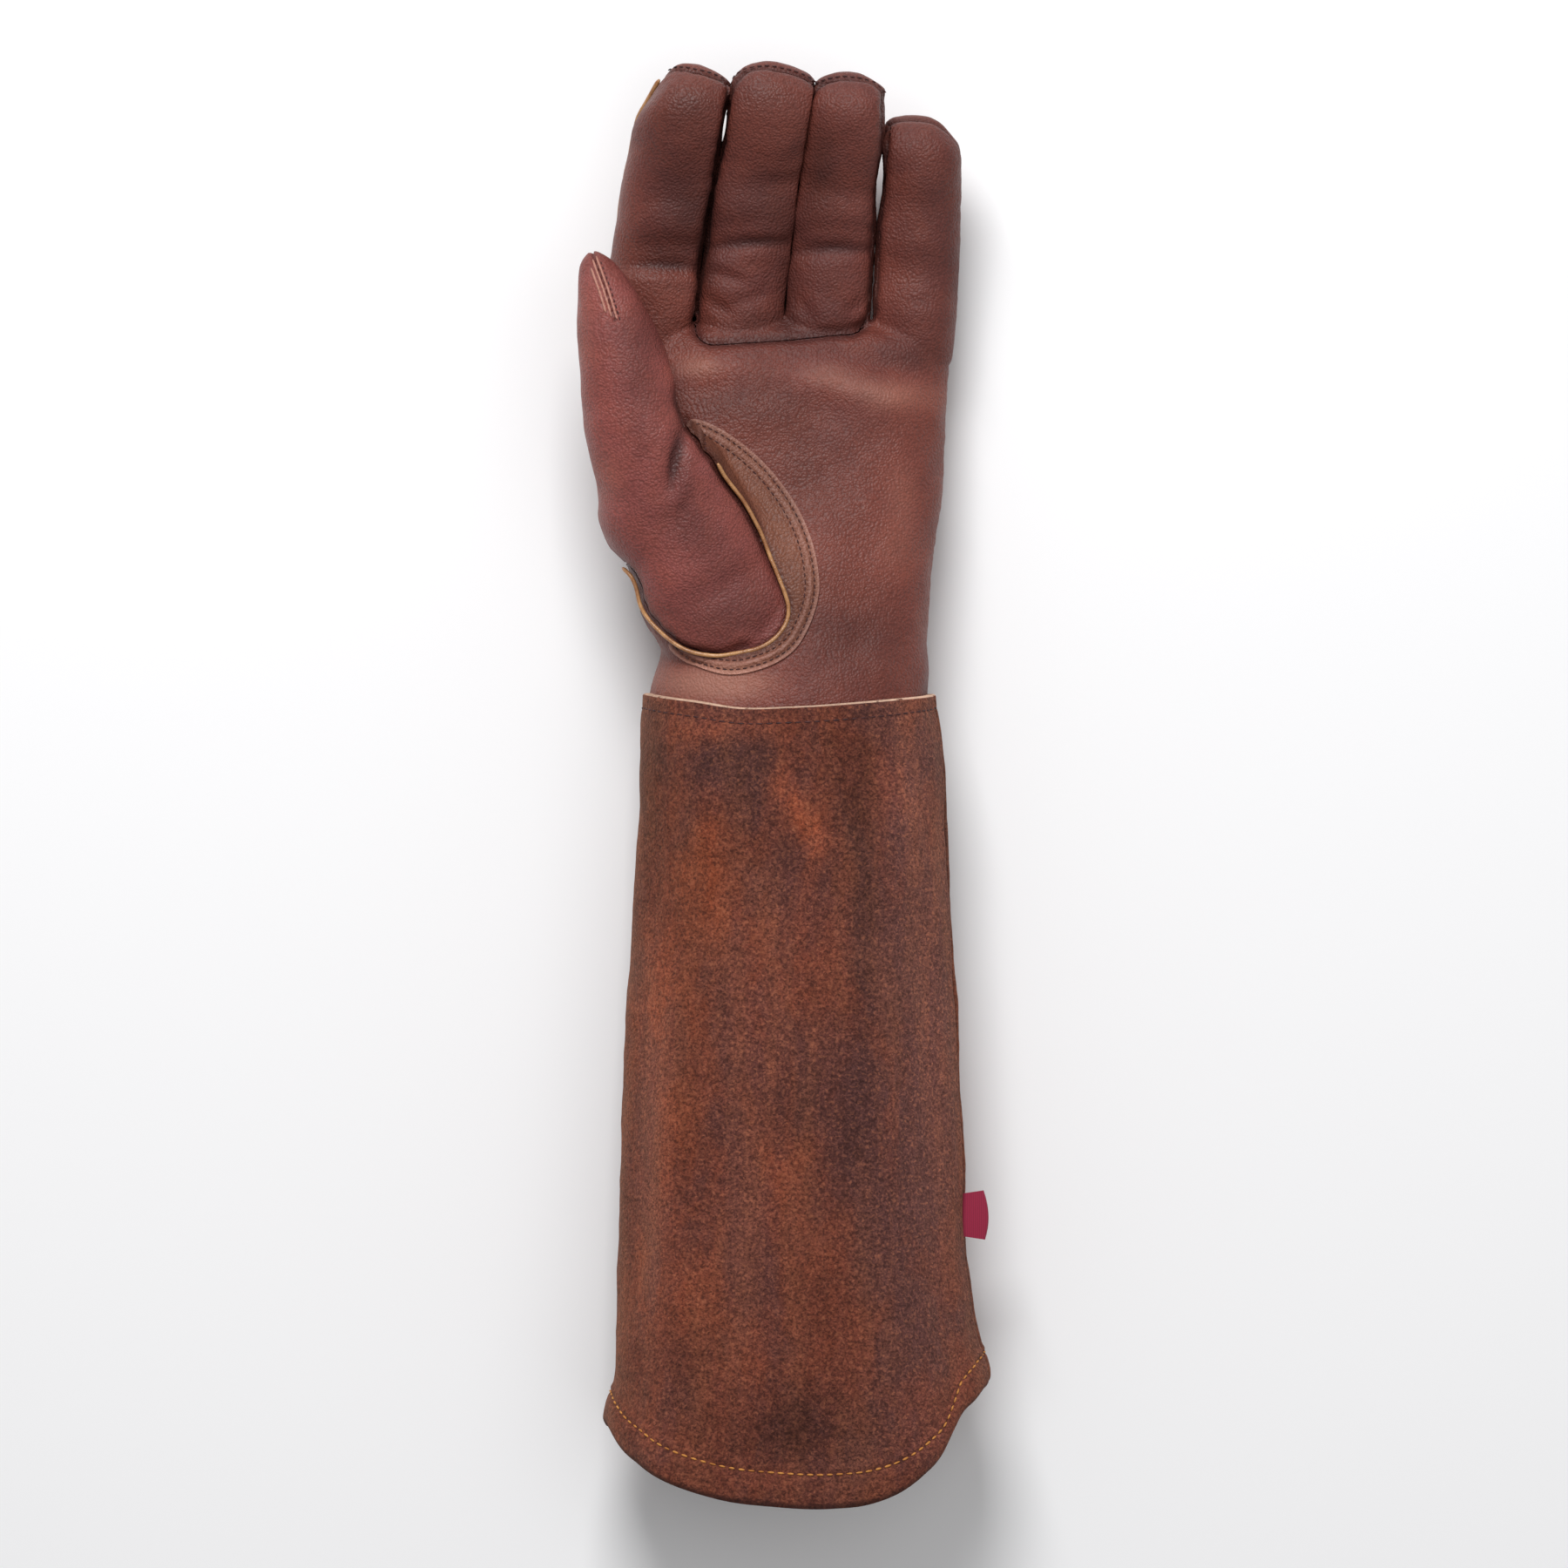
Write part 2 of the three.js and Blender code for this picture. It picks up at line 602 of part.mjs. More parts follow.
// The reinforcement patch lies on the palm round the thumb and its welt.
const patchGrowth = thumbFrames(patchShift);
const patchCover = boxBetween(
  new THREE.Vector3(-patchSide, 0, handDepth / 2),
  new THREE.Vector3(handWidth / 2, patchTop, 2 * handDepth),
);
const patchLayer = handBody(-seamGap - patchLeather, 0, 0)
  .subtract(handBody(-seamGap, -overhang, overhang));
const patchBody = mainPart(
  patchLayer.intersect(patchCover).intersect(tube(patchGrowth, thumbSides, -patchWidth))
    .subtract(tube(thumb, thumbSides, -2 * (weltRadius + seamGap) - 0.4)),
);

// The welt along the seam between palm and back on the thumb side, from the gauntlet to the index finger
function backWeltPath() {
  const seamAngle = (share) => Math.PI + Math.asin(share ** (squareness / 2));
  const path = [];
  for (let y = 4; y < 0.88 * handLength; y += 9) {
    const share = column(handSections, "seam", Math.max(y / handLength, handSections[0].along));
    path.push(handPoint(seamAngle(share), y, -weltStandOff));
  }
  const [u, w] = sectionPoint(seamAngle(column(handSections, "seam", 1)));
  frames[0].slice(1, 6).forEach((frame) => {
    path.push(framePoint(frame, u * (frame.half + weltStandOff), w * (frame.back + weltStandOff)));
  });
  return path;
}
const backWelt = welt(backWeltPath());

// The gauntlet
function foldDepth(degrees, along) {
  return cuffFolds.reduce((sum, fold) => {
    const away = ((degrees - fold.angle + 540) % 360) - 180;
    const start = THREE.MathUtils.smoothstep(along, fold.from, fold.from + 0.12);
    const end = 1 - THREE.MathUtils.smoothstep(along, fold.to, fold.to + 0.12);
    return sum + fold.depth * cuffTopDepth * bump(away, fold.width) * start * end;
  }, 0);
}

// Where the hem lies: lowest in the middle of each panel and cut up towards the side seams.
function hemPlace(turn) {
  const fromMiddle = THREE.MathUtils.radToDeg(Math.asin(Math.abs(Math.cos(turn))));
  const rise = Math.cos(turn) < 0
    ? hemRiseRadial * THREE.MathUtils.smoothstep(fromMiddle, 8, 92)
    : hemRiseUlnar * THREE.MathUtils.smoothstep(fromMiddle, 22, 72);
  return rise - cuffLength - restSink;
}

// A point of a gauntlet panel. turn is its angle round the section and down runs from 0 at the upper edge
// to 1 at the hem.
function cuffPoint(turn, down, inset) {
  const palmSide = Math.sin(turn);
  const y = lerp(-edgeArch * (palmSide - 0.5), hemPlace(turn), down);
  const fold = foldDepth(THREE.MathUtils.radToDeg(turn), -y / cuffLength);
  const point = onSection(cuffSection(y), y, turn, inset - fold);
  point.z = Math.max(point.z, inset);
  return point;
}

function cuffPanel(from, to) {
  const downs = [0, 0.06, 0.15, 0.26, 0.38, 0.5, 0.62, 0.74, 0.86];
  const turned = 1 - hemTurn / cuffLength;
  const thin = [...downs, turned - 0.002].map((down) => [down, cuffSuede]);
  const doubled = [turned, 0.975, 1].map((down) => [down, 2 * cuffSuede]);
  const grid = (wall) => [...thin, ...doubled].map(([down, thickness]) =>
    Array.from({ length: cuffColumns + 1 }, (_, i) => {
      const turn = lerp(from, to, i / cuffColumns);
      return cuffPoint(turn, down, wall ? 0 : thickness);
    }));
  return sheet(grid(true), grid(false));
}

// The angles of the side seams, and half of the gap between the panels there
const radialSeam = radians(197);
const ulnarSeam = radians(6);
const seamTurn = seamGap / cuffTopDepth;
const cuffFront = cuffPanel(radialSeam - seamTurn, ulnarSeam + seamTurn);
const cuffBack = cuffPanel(radialSeam + seamTurn, ulnarSeam + 2 * Math.PI - seamTurn);

// The ribbon tab, folded on itself and sewn into the seam on the little finger side
const tabInner = 0.4;
const tabOutline = new THREE.Shape();
const tabRound = tabInner + tabRibbon;
tabOutline.moveTo(0, tabRound);
tabOutline.lineTo(tabReach - tabRound, tabRound);
tabOutline.absarc(tabReach - tabRound, 0, tabRound, Math.PI / 2, -Math.PI / 2, true);
tabOutline.lineTo(0, -tabRound);
tabOutline.lineTo(0, -tabInner);
tabOutline.lineTo(tabReach - tabRound, -tabInner);
tabOutline.absarc(tabReach - tabRound, 0, tabInner, -Math.PI / 2, Math.PI / 2, false);
tabOutline.lineTo(0, tabInner);
tabOutline.closePath();
const tabSettings = { depth: tabHeight, bevelEnabled: false, curveSegments: 4 };
const tab = new THREE.ExtrudeGeometry(tabOutline, tabSettings);
const tabFoot = onSection(cuffSection(-tabPlace), -tabPlace, ulnarSeam, -seamGap);
tab.rotateX(Math.PI / 2).translate(tabFoot.x + 0.6, tabFoot.y, tabFoot.z);

const group = new THREE.Group();
function addPiece(name, geometry, material) {
  const mesh = new THREE.Mesh(geometry, material);
  mesh.name = name;
  group.add(mesh);
}

const grainLeather = new THREE.MeshStandardMaterial({ color: 0x7a4338, roughness: 0.5, metalness: 0 });
const pipingLeather = new THREE.MeshStandardMaterial({ color: 0xc89650, roughness: 0.6, metalness: 0 });
const splitSuede = new THREE.MeshStandardMaterial({ color: 0x733c28, roughness: 0.95, metalness: 0 });
const ribbon = new THREE.MeshStandardMaterial({ color: 0xa01e46, roughness: 0.7, metalness: 0 });
addPiece("palm", geometryOf(palmBody), grainLeather);
addPiece("middle_finger_fronts", geometryOf(frontsBody), grainLeather);
addPiece("back", geometryOf(backBody), grainLeather);
fourchetteBodies.forEach((body, i) => {
  const [a, b] = gaps[i];
  addPiece(`fourchette_${fingers[a].name}_${fingers[b].name}`, geometryOf(body), grainLeather);
});
addPiece("thumb", geometryOf(thumbBody), grainLeather);
addPiece("thumb_patch", geometryOf(patchBody), grainLeather);
addPiece("thumb_welt", thumbWelt, pipingLeather);
addPiece("back_welt", backWelt, pipingLeather);
addPiece("cuff_front", cuffFront, splitSuede);
addPiece("cuff_back", cuffBack, splitSuede);
addPiece("tab", tab, ribbon);

// The part's origin is the middle of its box, on the surface that it lies on.
const bounds = new THREE.Box3().setFromObject(group);
const middle = bounds.getCenter(new THREE.Vector3());
group.children.forEach((mesh) => mesh.geometry.translate(-middle.x, -middle.y, -bounds.min.z));

export default group;
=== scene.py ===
"""A long rose pruning gauntlet for the left hand, lying palm up: a sewn hand of soft grain leather with
piped and stitched seams, and an elbow length gauntlet of split suede."""
import math

import bpy
import numpy as np
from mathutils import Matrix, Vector


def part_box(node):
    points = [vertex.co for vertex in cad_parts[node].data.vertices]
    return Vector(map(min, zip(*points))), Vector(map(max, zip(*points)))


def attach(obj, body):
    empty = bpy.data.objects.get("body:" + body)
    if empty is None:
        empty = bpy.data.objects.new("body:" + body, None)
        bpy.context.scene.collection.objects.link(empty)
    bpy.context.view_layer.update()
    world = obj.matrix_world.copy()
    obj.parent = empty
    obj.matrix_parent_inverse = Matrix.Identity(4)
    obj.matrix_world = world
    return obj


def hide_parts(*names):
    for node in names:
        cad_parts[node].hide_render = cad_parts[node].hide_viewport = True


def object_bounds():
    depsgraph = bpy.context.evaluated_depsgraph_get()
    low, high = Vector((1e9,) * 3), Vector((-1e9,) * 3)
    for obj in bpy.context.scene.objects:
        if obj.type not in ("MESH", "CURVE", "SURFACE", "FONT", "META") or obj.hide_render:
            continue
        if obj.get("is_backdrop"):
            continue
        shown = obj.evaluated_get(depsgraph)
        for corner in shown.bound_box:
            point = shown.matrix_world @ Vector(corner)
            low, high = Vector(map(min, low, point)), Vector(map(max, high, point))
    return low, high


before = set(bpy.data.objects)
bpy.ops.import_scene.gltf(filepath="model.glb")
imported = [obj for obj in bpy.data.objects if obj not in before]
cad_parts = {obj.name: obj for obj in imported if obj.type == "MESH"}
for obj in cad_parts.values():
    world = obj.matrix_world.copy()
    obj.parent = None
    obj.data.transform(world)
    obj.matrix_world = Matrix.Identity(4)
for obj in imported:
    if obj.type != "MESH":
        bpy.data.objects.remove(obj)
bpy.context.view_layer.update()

# The hand's form
# One surface for the palm, the back, the fingers and the thumb: lofted tubes joined into one skin and
# folded, which the pieces of leather are then cut from. Millimetres, from the gauntlet's upper edge.
glove_origin = np.array([
    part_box("thumb_patch")[0][0] * 1000 + 38,
    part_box("palm")[0][1] * 1000 + 15,
    0,
])
hand_length, hand_width, hand_depth = 120, 108, 44
finger_length, finger_width, finger_depth, finger_spacing = 100, 28, 27, 28
finger_gap, finger_touch = 2.6, 0.06
thumb_length, thumb_width, thumb_depth = 131, 31, 30
squareness = 2.25
skin_cell = 0.9


def smooth(x, low, high):
    """0 below low, 1 above high, and a smooth step between them."""
    t = np.clip((np.asarray(x, float) - low) / (high - low), 0, 1)
    return t * t * (3 - 2 * t)


def bump(distance, width):
    """1 at no distance, falling smoothly to nothing a few widths away."""
    return np.exp(-((distance / width) ** 2))


def spot(x, y, at_x, at_y, wide, tall):
    """1 at a place seen from above, falling smoothly to nothing round it."""
    return np.exp(-((x - at_x) / wide) ** 2 - ((y - at_y) / tall) ** 2)


def column(rows, at):
    """The values of a table's second and later columns at places along its first, on smooth curves."""
    rows = np.array(rows, float)
    at = np.clip(np.asarray(at, float), rows[0, 0], rows[-1, 0])
    i = np.clip(np.searchsorted(rows[:, 0], at, side="right") - 1, 0, len(rows) - 2)
    slopes = np.gradient(rows[:, 1:], rows[:, 0], axis=0)
    span = (rows[i + 1, 0] - rows[i, 0])[..., None]
    t = ((at - rows[i, 0]) / (rows[i + 1, 0] - rows[i, 0]))[..., None]
    start, end = (2 * t**3 - 3 * t**2 + 1), (3 * t**2 - 2 * t**3)
    leave, arrive = (t**3 - 2 * t**2 + t) * span, (t**3 - t**2) * span
    values = start * rows[i, 1:] + end * rows[i + 1, 1:] + leave * slopes[i] + arrive * slopes[i + 1]
    return np.moveaxis(values, -1, 0)


# Along the hand: thumb side, little finger side, back, palm, and how far the side seam lies to the back
hand_rows = [
    (-0.2, 0.414, 0.414, 0.01, 1.36, 0.6),
    (0, 0.412, 0.414, 0.03, 1.34, 0.6),
    (0.08, 0.402, 0.415, 0.07, 1.3, 0.63),
    (0.16, 0.392, 0.411, 0.09, 1.24, 0.7),
    (0.24, 0.4, 0.414, 0.12, 1.2, 0.74),
    (0.32, 0.415, 0.422, 0.14, 1.18, 0.74),
    (0.42, 0.43, 0.431, 0.08, 1.15, 0.7),
    (0.54, 0.455, 0.448, -0.02, 1.1, 0.62),
    (0.66, 0.485, 0.459, -0.045, 1.05, 0.56),
    (0.78, 0.505, 0.468, -0.045, 1.01, 0.52),
    (0.88, 0.517, 0.476, -0.01, 0.93, 0.52),
    (0.95, 0.518, 0.482, 0.05, 0.85, 0.55),
    (1, 0.505, 0.475, 0.13, 0.77, 0.58),
]
# Each finger: root and tip across the hand, reach, rise, width at root and tip, depth
finger_rows = {
    "index": (-1.6, -1.1, 0.928, 0.3, 1.09, 1.06, 1.04),
    "middle": (-0.585, -0.09, 0.93, 0.32, 0.955, 0.985, 1.0),
    "ring": (0.43, 0.73, 0.9, 0.3, 0.965, 0.93, 0.97),
    "little": (1.44, 1.53, 0.775, 0.16, 0.945, 0.91, 0.9),
}
# Along a finger: width, depth to the front and to the back
swell_rows = [
    (0, 0.9, 0.92, 0.86),
    (0.12, 0.97, 1.03, 0.96),
    (0.24, 1.0, 1.09, 1.0),
    (0.4, 0.99, 0.96, 1.0),
    (0.53, 1.0, 1.06, 0.99),
    (0.65, 0.995, 0.97, 0.97),
    (0.8, 1.0, 1.02, 0.95),
    (1, 0.97, 0.96, 0.9),
]
# Along the thumb: away from the palm, ahead, up, width and depth
thumb_rows = [
    (0, -0.03, 0.015, 0, 0.9, 0.93),
    (1, -0.012, 0.092, 0.078, 1.58, 1.43),
    (2, 0.045, 0.198, 0.1, 1.6, 1.47),
    (3, 0.105, 0.32, 0.137, 1.57, 1.4),
    (4, 0.16, 0.443, 0.19, 1.29, 1.2),
    (5, 0.214, 0.55, 0.229, 1.07, 1.07),
    (6, 0.24, 0.656, 0.244, 0.99, 1),
    (7, 0.256, 0.748, 0.252, 0.9, 0.93),
    (8, 0.279, 0.84, 0.256, 0.74, 0.83),
    (9, 0.305, 0.924, 0.256, 0.5, 0.63),
    (10, 0.32, 0.973, 0.256, 0.31, 0.39),
    (11, 0.326, 1.0, 0.256, 0.06, 0.08),
]


def hand_section(y):
    radial, ulnar, back, palm, seam = column(hand_rows, np.asarray(y, float) / hand_length)
    return -radial * hand_width, ulnar * hand_width, back * hand_depth, palm * hand_depth, seam


def finger_path(name, stations):
    """Centre, across, out of the palm and along, and half width, front and back along a finger."""
    root, tip, reach, rise, root_width, tip_width, depth = finger_rows[name]

    def middle(s):
        return np.stack([
            (root + (tip - root) * np.clip(s, 0, 2) ** 1.5) * finger_spacing,
            0.9 * hand_length + reach * finger_length * s,
            0.45 * hand_depth + rise * finger_length * np.clip(s, 0, 2) ** 1.9,
        ], axis=-1)

    ahead = middle(stations + 0.01) - middle(stations - 0.01)
    ahead /= np.linalg.norm(ahead, axis=-1, keepdims=True)
    across = np.array([1.0, 0, 0]) - ahead[:, :1] * ahead
    across /= np.linalg.norm(across, axis=-1, keepdims=True)
    width, front, back = column(swell_rows, stations)
    end = (1 - np.clip((stations - 0.82) / 0.18, 0, 1) ** 3.2) ** (1 / 2.5)
    size = root_width + (tip_width - root_width) * np.clip(stations / 0.75, 0, 1)
    half = size * width * end * finger_width / 2
    return middle(stations), across, np.cross(across, ahead), ahead, half, \
        depth * front * end * finger_depth / 2, depth * back * end * finger_depth / 2


def thumb_path(stations):
    def middle(t):
        aside, ahead, up = column(thumb_rows, t)[:3] * thumb_length
        return np.stack([-20 - aside, 12 + ahead, 24 + up], axis=-1)

    ahead = middle(np.clip(stations + 0.4, 0, 11)) - middle(np.clip(stations - 0.4, 0, 11))
    ahead /= np.linalg.norm(ahead, axis=-1, keepdims=True)
    across = np.stack([ahead[:, 1], -ahead[:, 0], 0 * ahead[:, 0]], axis=-1)
    across /= np.linalg.norm(across, axis=-1, keepdims=True)
    width, depth = column(thumb_rows, stations)[3:5]
    half, deep = width * thumb_width / 2, depth * thumb_depth / 2
    return middle(stations), across, np.cross(across, ahead), ahead, half, deep, deep


def section_points(sides):
    turn = np.arange(sides) * 2 * np.pi / sides
    c, s = np.cos(turn), np.sin(turn)
    power = 2 / squareness
    return np.sign(c) * np.abs(c) ** power, np.sign(s) * np.abs(s) ** power


def finger_line(name, y):
    """How far across the hand a finger's middle lies, at places along the hand."""
    root, tip, reach = finger_rows[name][:3]
    s = np.clip((y - 0.9 * hand_length) / (reach * finger_length), 0, 1)
    return (root + (tip - root) * s**1.5) * finger_spacing


def pressed_apart(rings, name):
    """A finger's rings, flattened where they would meet the next finger."""
    names = list(finger_rows)
    k = names.index(name)
    x, y = rings[..., 0], rings[..., 1]
    free = 30 * (1 - smooth(y, 112, 120))
    if k < 3:
        line = (finger_line(name, y) + finger_line(names[k + 1], y)) / 2 - finger_gap / 2 + free
        x = np.minimum(x, line)
    if k > 0:
        line = (finger_line(name, y) + finger_line(names[k - 1], y)) / 2 + finger_gap / 2 - free
        x = np.maximum(x, line)
    rings = rings.copy()
    rings[..., 0] = x
    return rings


def tube_rings(path, sides):
    centre, across, out, ahead, half, front, back = path
    u, w = section_points(sides)
    depth = np.where(w[None, :] > 0, front[:, None], back[:, None])
    return centre[:, None] + across[:, None] * (half[:, None] * u)[..., None] \
        + out[:, None] * (depth * w)[..., None]


def loft(rings):
    """Points and faces of a closed body through rings of points."""
    count, sides = rings.shape[:2]
    i, j = np.meshgrid(np.arange(count - 1), np.arange(sides), indexing="ij")
    k = (j + 1) % sides
    faces = np.stack([i * sides + j, (i + 1) * sides + j, (i + 1) * sides + k, i * sides + k], -1)
    ends = [list(range(sides)), list(range((count - 1) * sides, count * sides))[::-1]]
    return rings.reshape(-1, 3), faces.reshape(-1, 4).tolist() + ends


def mesh_of(name, points, faces):
    mesh = bpy.data.meshes.new(name)
    mesh.from_pydata(np.asarray(points, float).tolist(), [], [list(f) for f in faces])
    mesh.update()
    return mesh


def triangles_of(mesh):
    """A mesh's points and triangles as arrays."""
    mesh.calc_loop_triangles()
    points = np.empty(len(mesh.vertices) * 3)
    mesh.vertices.foreach_get("co", points)
    triangles = np.empty(len(mesh.loop_triangles) * 3, int)
    mesh.loop_triangles.foreach_get("vertices", triangles)
    return points.reshape(-1, 3), triangles.reshape(-1, 3)


def normals_of(points, triangles):
    a, b, c = (points[triangles[:, k]] for k in range(3))
    face = np.cross(b - a, c - a)
    normals = np.zeros_like(points)
    for k in range(3):
        np.add.at(normals, triangles[:, k], face)
    return normals / np.maximum(np.linalg.norm(normals, axis=1, keepdims=True), 1e-9)


def in_scene(name, data):
    """A new object with its data, put in the scene."""
    thing = bpy.data.objects.new(name, data)
    bpy.context.scene.collection.objects.link(thing)
    return thing


def joined_skin():
    """The tubes, joined through a voxel remesh and smoothed."""
    stations = np.concatenate([[-22], np.linspace(-20, 121.5, 60)])
    left, right, low, high, _ = hand_section(stations)
    shoulder = 1 - 0.35 * smooth(stations, 112, 121.5)[:, None] ** 3
    u, w = section_points(96)
    x = (left + right)[:, None] / 2 + (right - left)[:, None] / 2 * u * (1 - (1 - shoulder) * 0.2)
    z = (low + high)[:, None] / 2 + (high - low)[:, None] / 2 * w * shoulder
    rings = np.stack([x, np.repeat(stations[:, None], 96, 1), np.maximum(z, 0.0)], -1)
    bodies = [loft(rings)]
    towards_tip = 1 - 0.2 * (1 - np.linspace(0, 1, 24)[1:-1]) ** 1.6
    along = np.concatenate([np.linspace(0, 0.8, 40), towards_tip, [0.9995]])
    for name in finger_rows:
        bodies.append(loft(pressed_apart(tube_rings(finger_path(name, along), 64), name)))
    bodies.append(loft(tube_rings(thumb_path(np.linspace(0, 11, 90)), 72)))
    points, faces = [], []
    for body_points, body_faces in bodies:
        first = sum(len(p) for p in points)
        faces += [[first + i for i in face] for face in body_faces]
        points.append(body_points)
    form = in_scene("form", mesh_of("form", np.concatenate(points), faces))
    remesh = form.modifiers.new("join", "REMESH")
    remesh.mode = "VOXEL"
    remesh.voxel_size = skin_cell
    remesh.adaptivity = 0
    soften = form.modifiers.new("soften", "SMOOTH")
    soften.factor = 0.5
    soften.iterations = 4
    evaluated = form.evaluated_get(bpy.context.evaluated_depsgraph_get())
    mesh = bpy.data.meshes.new_from_object(evaluated)
    points, triangles = triangles_of(mesh)
    bpy.data.objects.remove(form)
    return closed_up(points), triangles


def closed_up(points):
    """The fingers moved sideways until they all but touch."""
    x, y = points[:, 0].copy(), points[:, 1]
    names = list(finger_rows)
    for k in range(3):
        line = (finger_line(names[k], y) + finger_line(names[k + 1], y)) / 2
        touch = finger_touch + np.zeros(len(points))
        if k == 0:
            touch += 0.2 * bump(y - 181, 2)
        if k == 2:
            touch += 1.7 * bump(y - 166, 8) - 0.6 * (1 - smooth(y, 146, 156)) * smooth(y, 123, 130)
        away = x - line
        near = smooth(y, 115, 123)
        pull = (finger_gap + 1.7 - touch) / 2 * bump(np.maximum(np.abs(away) - finger_gap / 2, 0), 4.5)
        moved = np.sign(away) * np.maximum(np.abs(away) - pull, touch / 2)
        moved = np.where(np.abs(away) < finger_gap / 2, away * np.maximum(touch, 0) / finger_gap, moved)
        x = line + away + (moved - away) * near
    return np.stack([x, y, points[:, 2]], -1)


def place_along(points, path):
    """Station index, across, out of the palm, and the path's half width and depth there, for each point."""
    centre, across, out, ahead, half, front, back = path
    nearest = np.empty(len(points), int)
    for first in range(0, len(points), 20000):
        chunk = points[first:first + 20000, None] - centre[None]
        nearest[first:first + 20000] = np.argmin((chunk**2).sum(-1), axis=1)
    away = points - centre[nearest]
    u = (away * across[nearest]).sum(-1)
    w = (away * out[nearest]).sum(-1)
    along = (away * ahead[nearest]).sum(-1)
    deep = np.where(w > 0, front[nearest], back[nearest])
    return nearest, u, w, along, half[nearest], deep


def outside(u, w, half, deep):
    """How far outside a rounded section a point is, in millimetres."""
    half, deep = np.maximum(half, 0.5), np.maximum(deep, 0.5)
    level = (np.abs(u / half) ** squareness + np.abs(w / deep) ** squareness) ** (1 / squareness)
    reach = np.hypot(u, w)
    return reach - reach / np.maximum(level, 1e-6)


def ripple(points, size, seed, octaves=5):
    """A smooth random value between about -1 and 1, with swells of about that size."""
    rng = np.random.default_rng(seed)
    total = np.zeros(len(points))
    for _ in range(octaves):
        direction = rng.normal(size=3)
        direction /= np.linalg.norm(direction)
        wave = size * rng.uniform(0.7, 1.5)
        bend = 0.6 * np.sin(points @ np.roll(direction, 1) * 2 * np.pi / (wave * 2.3) + rng.uniform(0, 6))
        total += np.sin(points @ direction * 2 * np.pi / wave + bend * 2 + rng.uniform(0, 6))
    return total / octaves * 1.6


# Folds and creases seen on the palm: place, direction in degrees, half length, width and depth. A ridge
# has a depth below zero.
fold_rows = [
    (-38.5, 138.2, -3, 19, 1.9, 1.1),
    (-38.5, 143.5, -2, 22, 5, 0.9),
    (-38.5, 131, -2, 20, 6, -0.9),
    (-40.5, 158.8, 2, 17, 3.4, 0.5),
    (-40.5, 150, 2, 17, 5, -0.4),
    (-12.5, 145.4, 3, 19, 1.9, 1.1),
    (-12.5, 150.6, 2, 22, 4.8, 0.9),
    (-14, 138, 0, 18, 5, -0.9),
    (-8, 164.6, 2, 17, 3.2, 0.5),
    (-9, 156, 2, 17, 5, -0.4),
    (-19, 134.8, -18, 8, 1.7, 0.7),
    (-22, 125.5, -35, 6, 1.8, 0.7),
    (-12, 128, 14, 9, 1.9, 0.5),
    (14.5, 143.5, 1, 19, 1.9, 1.0),
    (14.5, 148.6, 1, 22, 4.6, 0.85),
    (13, 135, 0, 18, 5, -0.9),
    (18, 161.6, -2, 17, 3.2, 0.5),
    (16, 154, 0, 17, 5, -0.4),
    (22, 126, 40, 6, 1.8, 0.5),
    (6, 124, -50, 6, 1.9, 0.5),
    (43.5, 127, 3, 12, 2.2, 0.4),
    (43.5, 131.5, 3, 14, 4, 0.5),
    (43, 150, 0, 15, 4, 0.5),
    (-35.9, 76.5, 77, 14, 2.3, 1.6),
    (-33.6, 60.5, 62, 6, 2.0, 0.5),
    (-15, 16.4, 8, 5, 1.5, 0.9),
    (30, 107.5, -15, 20, 3.6, 1.2),
    (22, 99, -14, 26, 4.8, -1.5),
    (12, 91.5, -16, 20, 5, 0.7),
    (-27, 106, 8, 13, 4.2, -1.4),
    (-24, 98.5, 5, 15, 4.6, 0.9),
    (-6, 97, -70, 10, 5, 0.6),
    (20, 78, -55, 18, 7, -0.6),
    (33, 66, -62, 19, 6, 0.5),
    (10, 58, -60, 15, 6, -0.6),
    (24, 46, -75, 16, 7, 0.5),
    (22, 16, 72, 10, 4, 0.5),
    (8, 12, 84, 9, 3.6, -0.6),
    (30, 10, 95, 9, 3.6, -0.7),
    (-6, 4, 80, 8, 3, 0.5),
    (44, 84, -70, 14, 4, 0.5),
    (-52, 84, 74, 18, 5, 0.5),
    (-44, 50, 60, 16, 5, 0.4),
    (-24, 34, 30, 12, 5, 0.5),
    (-25, 76, 60, 11, 3.2, -0.8),
]
# Where the outline is set over sideways: place, half sizes and how far
set_over_rows = [
    (-49, 200, 13, 9, 2.6), (-25, 187, 6, 9, 1.1), (-17, 186, 5, 8, -1), (28, 201, 8, 5, -0.5),
    (54, 185, 10, 7, -1), (35, 188, 4, 5, -1.6), (32, 193, 3, 3, -0.5), (54, 153, 9, 20, 1.1),
    (-56, 37, 11, 9, 3.2), (-60, 57, 9, 8, -2), (-46, 15, 8, 7, 2.4), (48, 62, 8, 16, 1.2),
]
# The seam round the thumb's base, as seen from the palm
thumb_base = [
    (-24, 152), (-31, 110), (-36, 96), (-32, 87.5), (-24.4, 75.5), (-16, 65), (-9.8, 54), (-6, 45),
    (-2.3, 36.5), (0.3, 29.6), (-0.3, 24.4), (-3.8, 19.2), (-9.6, 15.6), (-18, 13.6), (-30.2, 14.6),
    (-39.1, 19.2), (-45.1, 25.3), (-50.4, 34), (-54, 42), (-66, 52), (-110, 70), (-110, 152), (-24, 152),
]
elastic_place, elastic_pinch, gather_depth, gather_pitch = 38, 2.4, 1.2, 9
palm_hollow = 4


